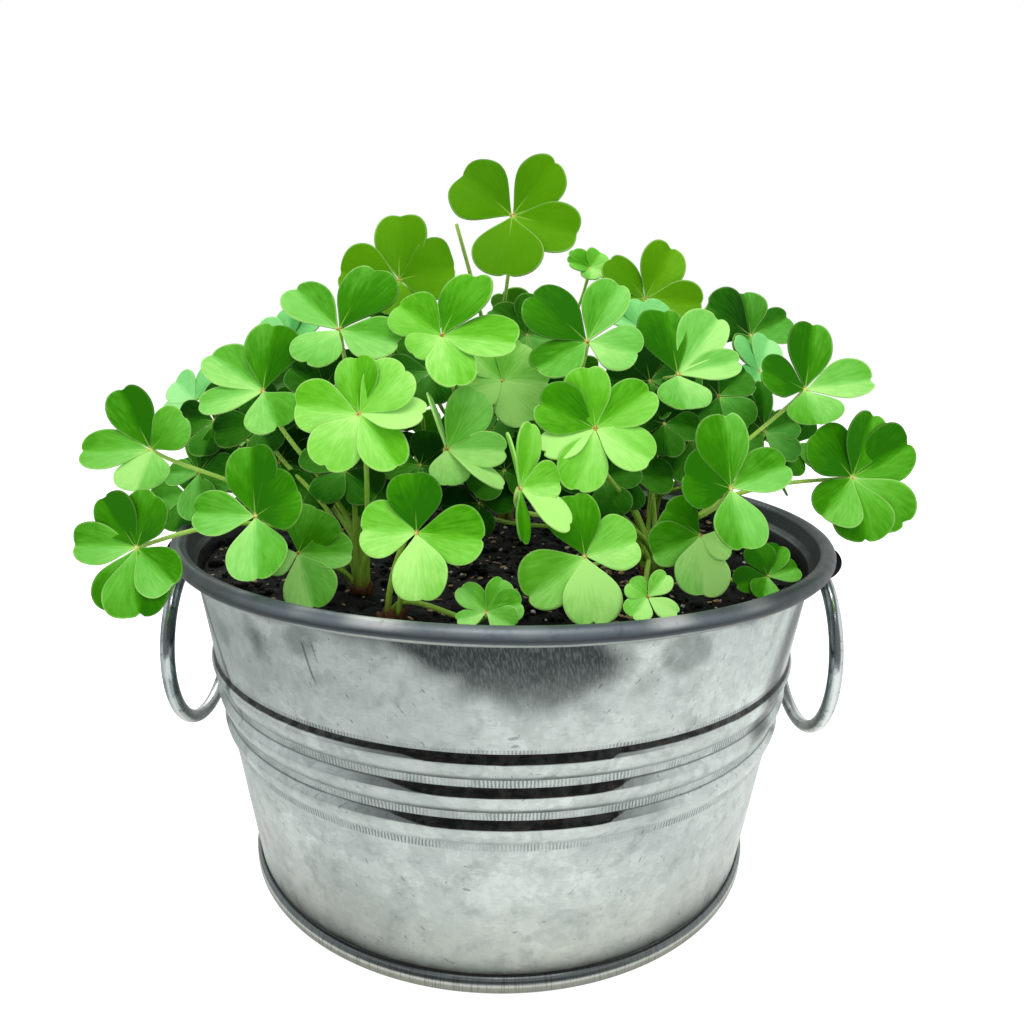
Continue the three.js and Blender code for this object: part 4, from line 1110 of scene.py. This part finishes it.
def addBlade(patch, points, faces, border, blades, shadings):
    # Gives the blade its thickness: a face above, a face below and an edge round them
    normals = [Vector() for _ in points]
    for face in faces:
        a, b, c = (points[face[k]] for k in (0, 1, 2))
        normal = (b - a).cross(c - a)
        for k in face:
            normals[k] += normal
    half = blade["thickness"] / 2
    shift = [n.normalized() * half for n in normals]
    count = len(points)
    both = [p + s for p, s in zip(points, shift)] + [p - s for p, s in zip(points, shift)]
    shell = faces + [[k + count for k in reversed(face)] for face in faces]
    for p, q in zip(border, border[1:] + border[:1]):
        shell.append([p, q, q + count, p + count])
    addTo(patch, both, shell, blade=blades * 2, tint=shadings * 2)


def underRows():
    # The under leaves as rows of four leaflets each
    draw = random.Random(plant["underSeed"])
    rows = []
    for crown, hub, turn, lift, reach in underLeaves:
        start = draw.uniform(0, 90)
        form = []
        for quarter in range(4):
            bearing = start + 90 * quarter + draw.uniform(-plant["underSway"], plant["underSway"])
            form.append((bearing, draw.uniform(plant["underShort"], 1)))
        rows.append((crown, hub, turn, lift, reach, "deep", form))
    return rows


def makeLeaves(tone, skins):
    # All leaves of one tone are one piece, and stand for their nodes
    patch = newPatch("blade", "tint")
    nodes = []
    for number, row in enumerate(leaves, 1):
        if row[5] == tone and row[0] not in sprays:
            addLeaf(patch, row, number)
            nodes.append("leaf_%02d" % number)
    if tone == "deep":
        for number, row in enumerate(underRows(), len(leaves) + 1):
            addLeaf(patch, row, number)
    return makePiece("leaves" + tone.capitalize(), patch, "tub", skins[tone], nodes)


def sprayNode(crown):
    return "spray_back_" + crown[4:].lower()


def makeSpray(crown, skins):
    patch = newPatch("blade", "tint")
    for number, row in enumerate(leaves, 1):
        if row[0] == crown:
            addLeaf(patch, row, number)
    name = "spray" + crown[0].upper() + crown[1:]
    return makePiece(name, patch, "tub", skins["mid"], [sprayNode(crown)])


def stalkRoute(row, order):
    # The same curve as the solid stalk: up from the clump, then forward into the leaf's back
    crown, hub, turn, lift = row[:4]
    bow, bend = (list(row[7:]) + [None, None])[:2]
    out = facing(turn, lift)[2]
    spread = math.radians(order * plant["footTurn"])
    foot = Vector((*crowns[crown], plant["crownHigh"] - plant["footDepth"]))
    foot += Vector(polar(1, spread)) * plant["footSpread"]
    tip = Vector(hub) - out * plant["seatBack"]
    reach = (Vector(hub) - foot).length
    back = Vector((0, 0, -plant["neckDrop"] * reach)) - out * plant["neckBack"] * reach
    if bend:
        back = Vector(bend)
    rise = foot + Vector((0, 0, plant["riseShare"] * reach)) + Vector(bow or (0, 0, 0))
    steps = plant["stalkSteps"]
    return [bezier(foot, rise, tip + back, tip, i / steps) for i in range(steps + 1)]


def addStalk(patch, route, own, bare=False):
    last = len(route) - 1
    radii, marks = [], []
    for i in range(last + 1):
        along = i / last
        radius = plant["stalkLow"] + (plant["stalkHigh"] - plant["stalkLow"]) * along
        if not bare:
            swell = max(0, (along - plant["swellFrom"]) / (1 - plant["swellFrom"]))
            radius += (plant["stalkTip"] - radius) * swell
        turns, shift = plant["wobbles"]
        radius *= 1 + plant["wobble"] * math.sin(turns * along + shift * own)
        radii.append(radius)
        woody = max(0, 1 - along / plant["woodyShare"])
        marks += [(along, woody, own)] * plant["stalkSides"]
    points, faces = tube(route, radii, plant["stalkSides"])
    addTo(patch, points, faces, blade=marks)


def makeStalks(crown, skin):
    patch = newPatch("blade")
    draw = random.Random(sum(map(ord, crown)))
    for order, row in enumerate(leaves + underRows()):
        if row[0] == crown:
            addStalk(patch, stalkRoute(row, order), draw.random())
    if crown == "back":
        top = Vector(plant["bareTop"])
        foot = Vector((*crowns[crown], plant["crownHigh"] - plant["footDepth"]))
        rise = foot + Vector((0, 0, plant["bareRise"]))
        middle = foot.lerp(top, plant["bareKnee"]) + Vector(plant["bareBend"])
        steps = plant["stalkSteps"]
        route = [bezier(foot, rise, middle, top, i / steps) for i in range(steps + 1)]
        addStalk(patch, route, draw.random(), bare=True)
    # Brown scales wrap the foot of the clump
    ball, sides = stone(2)
    for i in range(plant["scales"]):
        sway = draw.uniform(-plant["scaleSway"], plant["scaleSway"])
        angle = 2 * math.pi * (i + sway) / plant["scales"]
        tall, out = draw.uniform(*plant["scaleTall"]), draw.uniform(*plant["scaleOut"])
        tipped = Matrix.Rotation(draw.uniform(*plant["scaleLean"]), 3, "Y")
        lean = Matrix.Rotation(angle, 3, "Z") @ tipped
        centre = Vector((*crowns[crown], plant["crownHigh"] - plant["scaleDrop"]))
        centre += Vector(polar(1, angle)) * out
        thick, wide = plant["scaleSize"]
        scale = [centre + lean @ Vector((p.x * thick, p.y * wide, p.z * tall)) for p in ball]
        addTo(patch, scale, sides, blade=[(0, 1, draw.random())] * len(scale))
    name = "stalks" + crown[0].upper() + crown[1:]
    node = "stalks_" + "".join("_" + c.lower() if c.isupper() else c for c in crown)
    return makePiece(name, patch, "tub", skin, [sprayNode(crown) if crown in sprays else node])


# Stage: pale floor, soft light, and the camera at the photo's angle
studio = {
    "floorGlow": 0.86, "floorGrey": 0.5, "floorSize": 3.0, "tableReach": 0.3, "tableFade": 0.1,
    "tableLeft": (0.6, 0.63, 0.62), "tableRight": (1.0, 1.02, 1.0), "sides": (-0.2, 0.0),
    "roomDark": (0.14, 0.145, 0.15), "roomLeft": (0.72, 0.76, 0.77), "roomRight": (0.96, 0.99, 0.98),
    "frontWidth": (0.45, 0.75), "ceilingFrom": (0.45, 0.7), "roomSides": (-0.6, 0.6), "fill": 0.92,
    "aim": (0, 0, 0.12), "keyPlace": (0.05, -0.3, 0.85), "keySize": 0.5, "keyPower": 2.3,
    "backPlace": (-0.25, 0.45, 0.6), "backSize": 0.5, "backPower": 2.0,
}
# The camera fitted to the photo: focal length and width of the picture in pixels, place in millimetres
lens = {
    "focal": 818.7, "frame": 1024, "sensor": 36, "nearest": 10, "place": (2.33, -256.6, 165.6),
    "pitch": 12.74, "roll": 0.97,
}


def frontShare(direction):
    # 1 towards the front of the room, 0 to its sides and back
    x, y, high = split(direction)
    side, back, _ = split(vectorMath("NORMALIZE", join(x, y)))
    return ease(times(back, -1.0), *studio["frontWidth"]), side, high


def makeRoom():
    # White where the camera sees it. Metal mirrors a dark front and ceiling between bright walls.
    world = bpy.data.worlds.new("studioRoom")
    bpy.context.scene.world = world
    world.use_nodes = True
    world.cycles.sampling_method = "NONE"
    atHand["tree"] = world.node_tree
    direction = addNode("ShaderNodeTexCoord").outputs["Generated"]
    front, side, high = frontShare(direction)
    dark = larger(front, ease(high, *studio["ceilingFrom"]))
    bright = blend(ease(side, *studio["roomSides"]), (*studio["roomLeft"], 1), (*studio["roomRight"], 1))
    mirrored = blend(dark, bright, (*studio["roomDark"], 1))
    rays = addNode("ShaderNodeLightPath").outputs
    seen = blend(rays["Is Glossy Ray"], (studio["fill"],) * 3 + (1,), mirrored)
    seen = blend(rays["Is Camera Ray"], seen, (1, 1, 1, 1))
    feed(world.node_tree.nodes["Background"].inputs["Color"], seen)


def makeFloor():
    # A faintly glowing white table, so that only the shadow under the tub darkens it
    half = studio["floorSize"] / 2
    corners = [(-half, -half, 0), (half, -half, 0), (half, half, 0), (-half, half, 0)]
    mesh = bpy.data.meshes.new("floor")
    mesh.from_pydata(corners, [], [(0, 1, 2, 3)])
    floor = addObject("floor", mesh)
    material = surface("floorWhite")
    place = objectPlace()
    front = frontShare(place)[0]
    away = vectorMath("LENGTH", place, output="Value")
    edge = ease(away, studio["tableReach"], studio["tableReach"] + studio["tableFade"])
    mirrored = blend(ease(split(place)[0], *studio["sides"]),
                     (*studio["tableLeft"], 1), (*studio["tableRight"], 1))
    mirrored = blend(times(front, edge), mirrored, (*studio["roomDark"], 1))
    glossy = addNode("ShaderNodeLightPath").outputs["Is Glossy Ray"]
    glow = blend(glossy, (studio["floorGlow"],) * 3 + (1,), mirrored)
    grey = blend(glossy, (studio["floorGrey"],) * 3 + (1,), (0, 0, 0, 1))
    finish(Base_Color=grey, Emission_Color=glow, Emission_Strength=1.0, Roughness=0.9,
           Specular_IOR_Level=0.0)
    material.cycles.emission_sampling = "NONE"
    mesh.materials.append(material)


def aim(thing, place, target):
    thing.location = place
    thing.rotation_euler = (Vector(target) - Vector(place)).to_track_quat("-Z", "Y").to_euler()


def makeLights():
    for name in ("key", "back"):
        light = bpy.data.lights.new(name + "Softbox", "AREA")
        light.shape = "DISK"
        light.size = studio[name + "Size"]
        light.energy = studio[name + "Power"]
        box = addObject(name + "Softbox", light)
        aim(box, studio[name + "Place"], studio["aim"])


def makeCamera():
    data = bpy.data.cameras.new("camera")
    data.sensor_width = lens["sensor"]
    data.lens = lens["focal"] / lens["frame"] * data.sensor_width
    data.clip_start = lens["nearest"] * mm
    camera = addObject("camera", data)
    camera.location = Vector(lens["place"]) * mm
    tip = Matrix.Rotation(math.radians(90 - lens["pitch"]), 4, "X")
    camera.rotation_euler = (tip @ Matrix.Rotation(math.radians(lens["roll"]), 4, "Z")).to_euler()
    bpy.context.scene.camera = camera


bpy.context.scene.view_settings.view_transform = "Standard"
makeCamera()
makeRoom()
makeFloor()
makeLights()
print("stage made")

zincSkin, wire, earSteel = zincSurface(), wireSurface(), earSurface()
makeTubWall(zincSkin)
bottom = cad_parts["tub_bottom"]
bottom.data.materials.clear()
bottom.data.materials.append(zincSkin)
for side in (-1, 1):
    makeEar(side, earSteel)
    makeRing(side, wire)
print("tub made")

makeSoil(soilSurface())
print("soil made")

skins = {tone: leafSurface(tone) for tone in tones}
stalkSkin = stalkSurface()
for crown in crowns:
    makeStalks(crown, stalkSkin)
for tone in tones:
    makeLeaves(tone, skins)
for crown in sprays:
    makeSpray(crown, skins)
print("plant made")
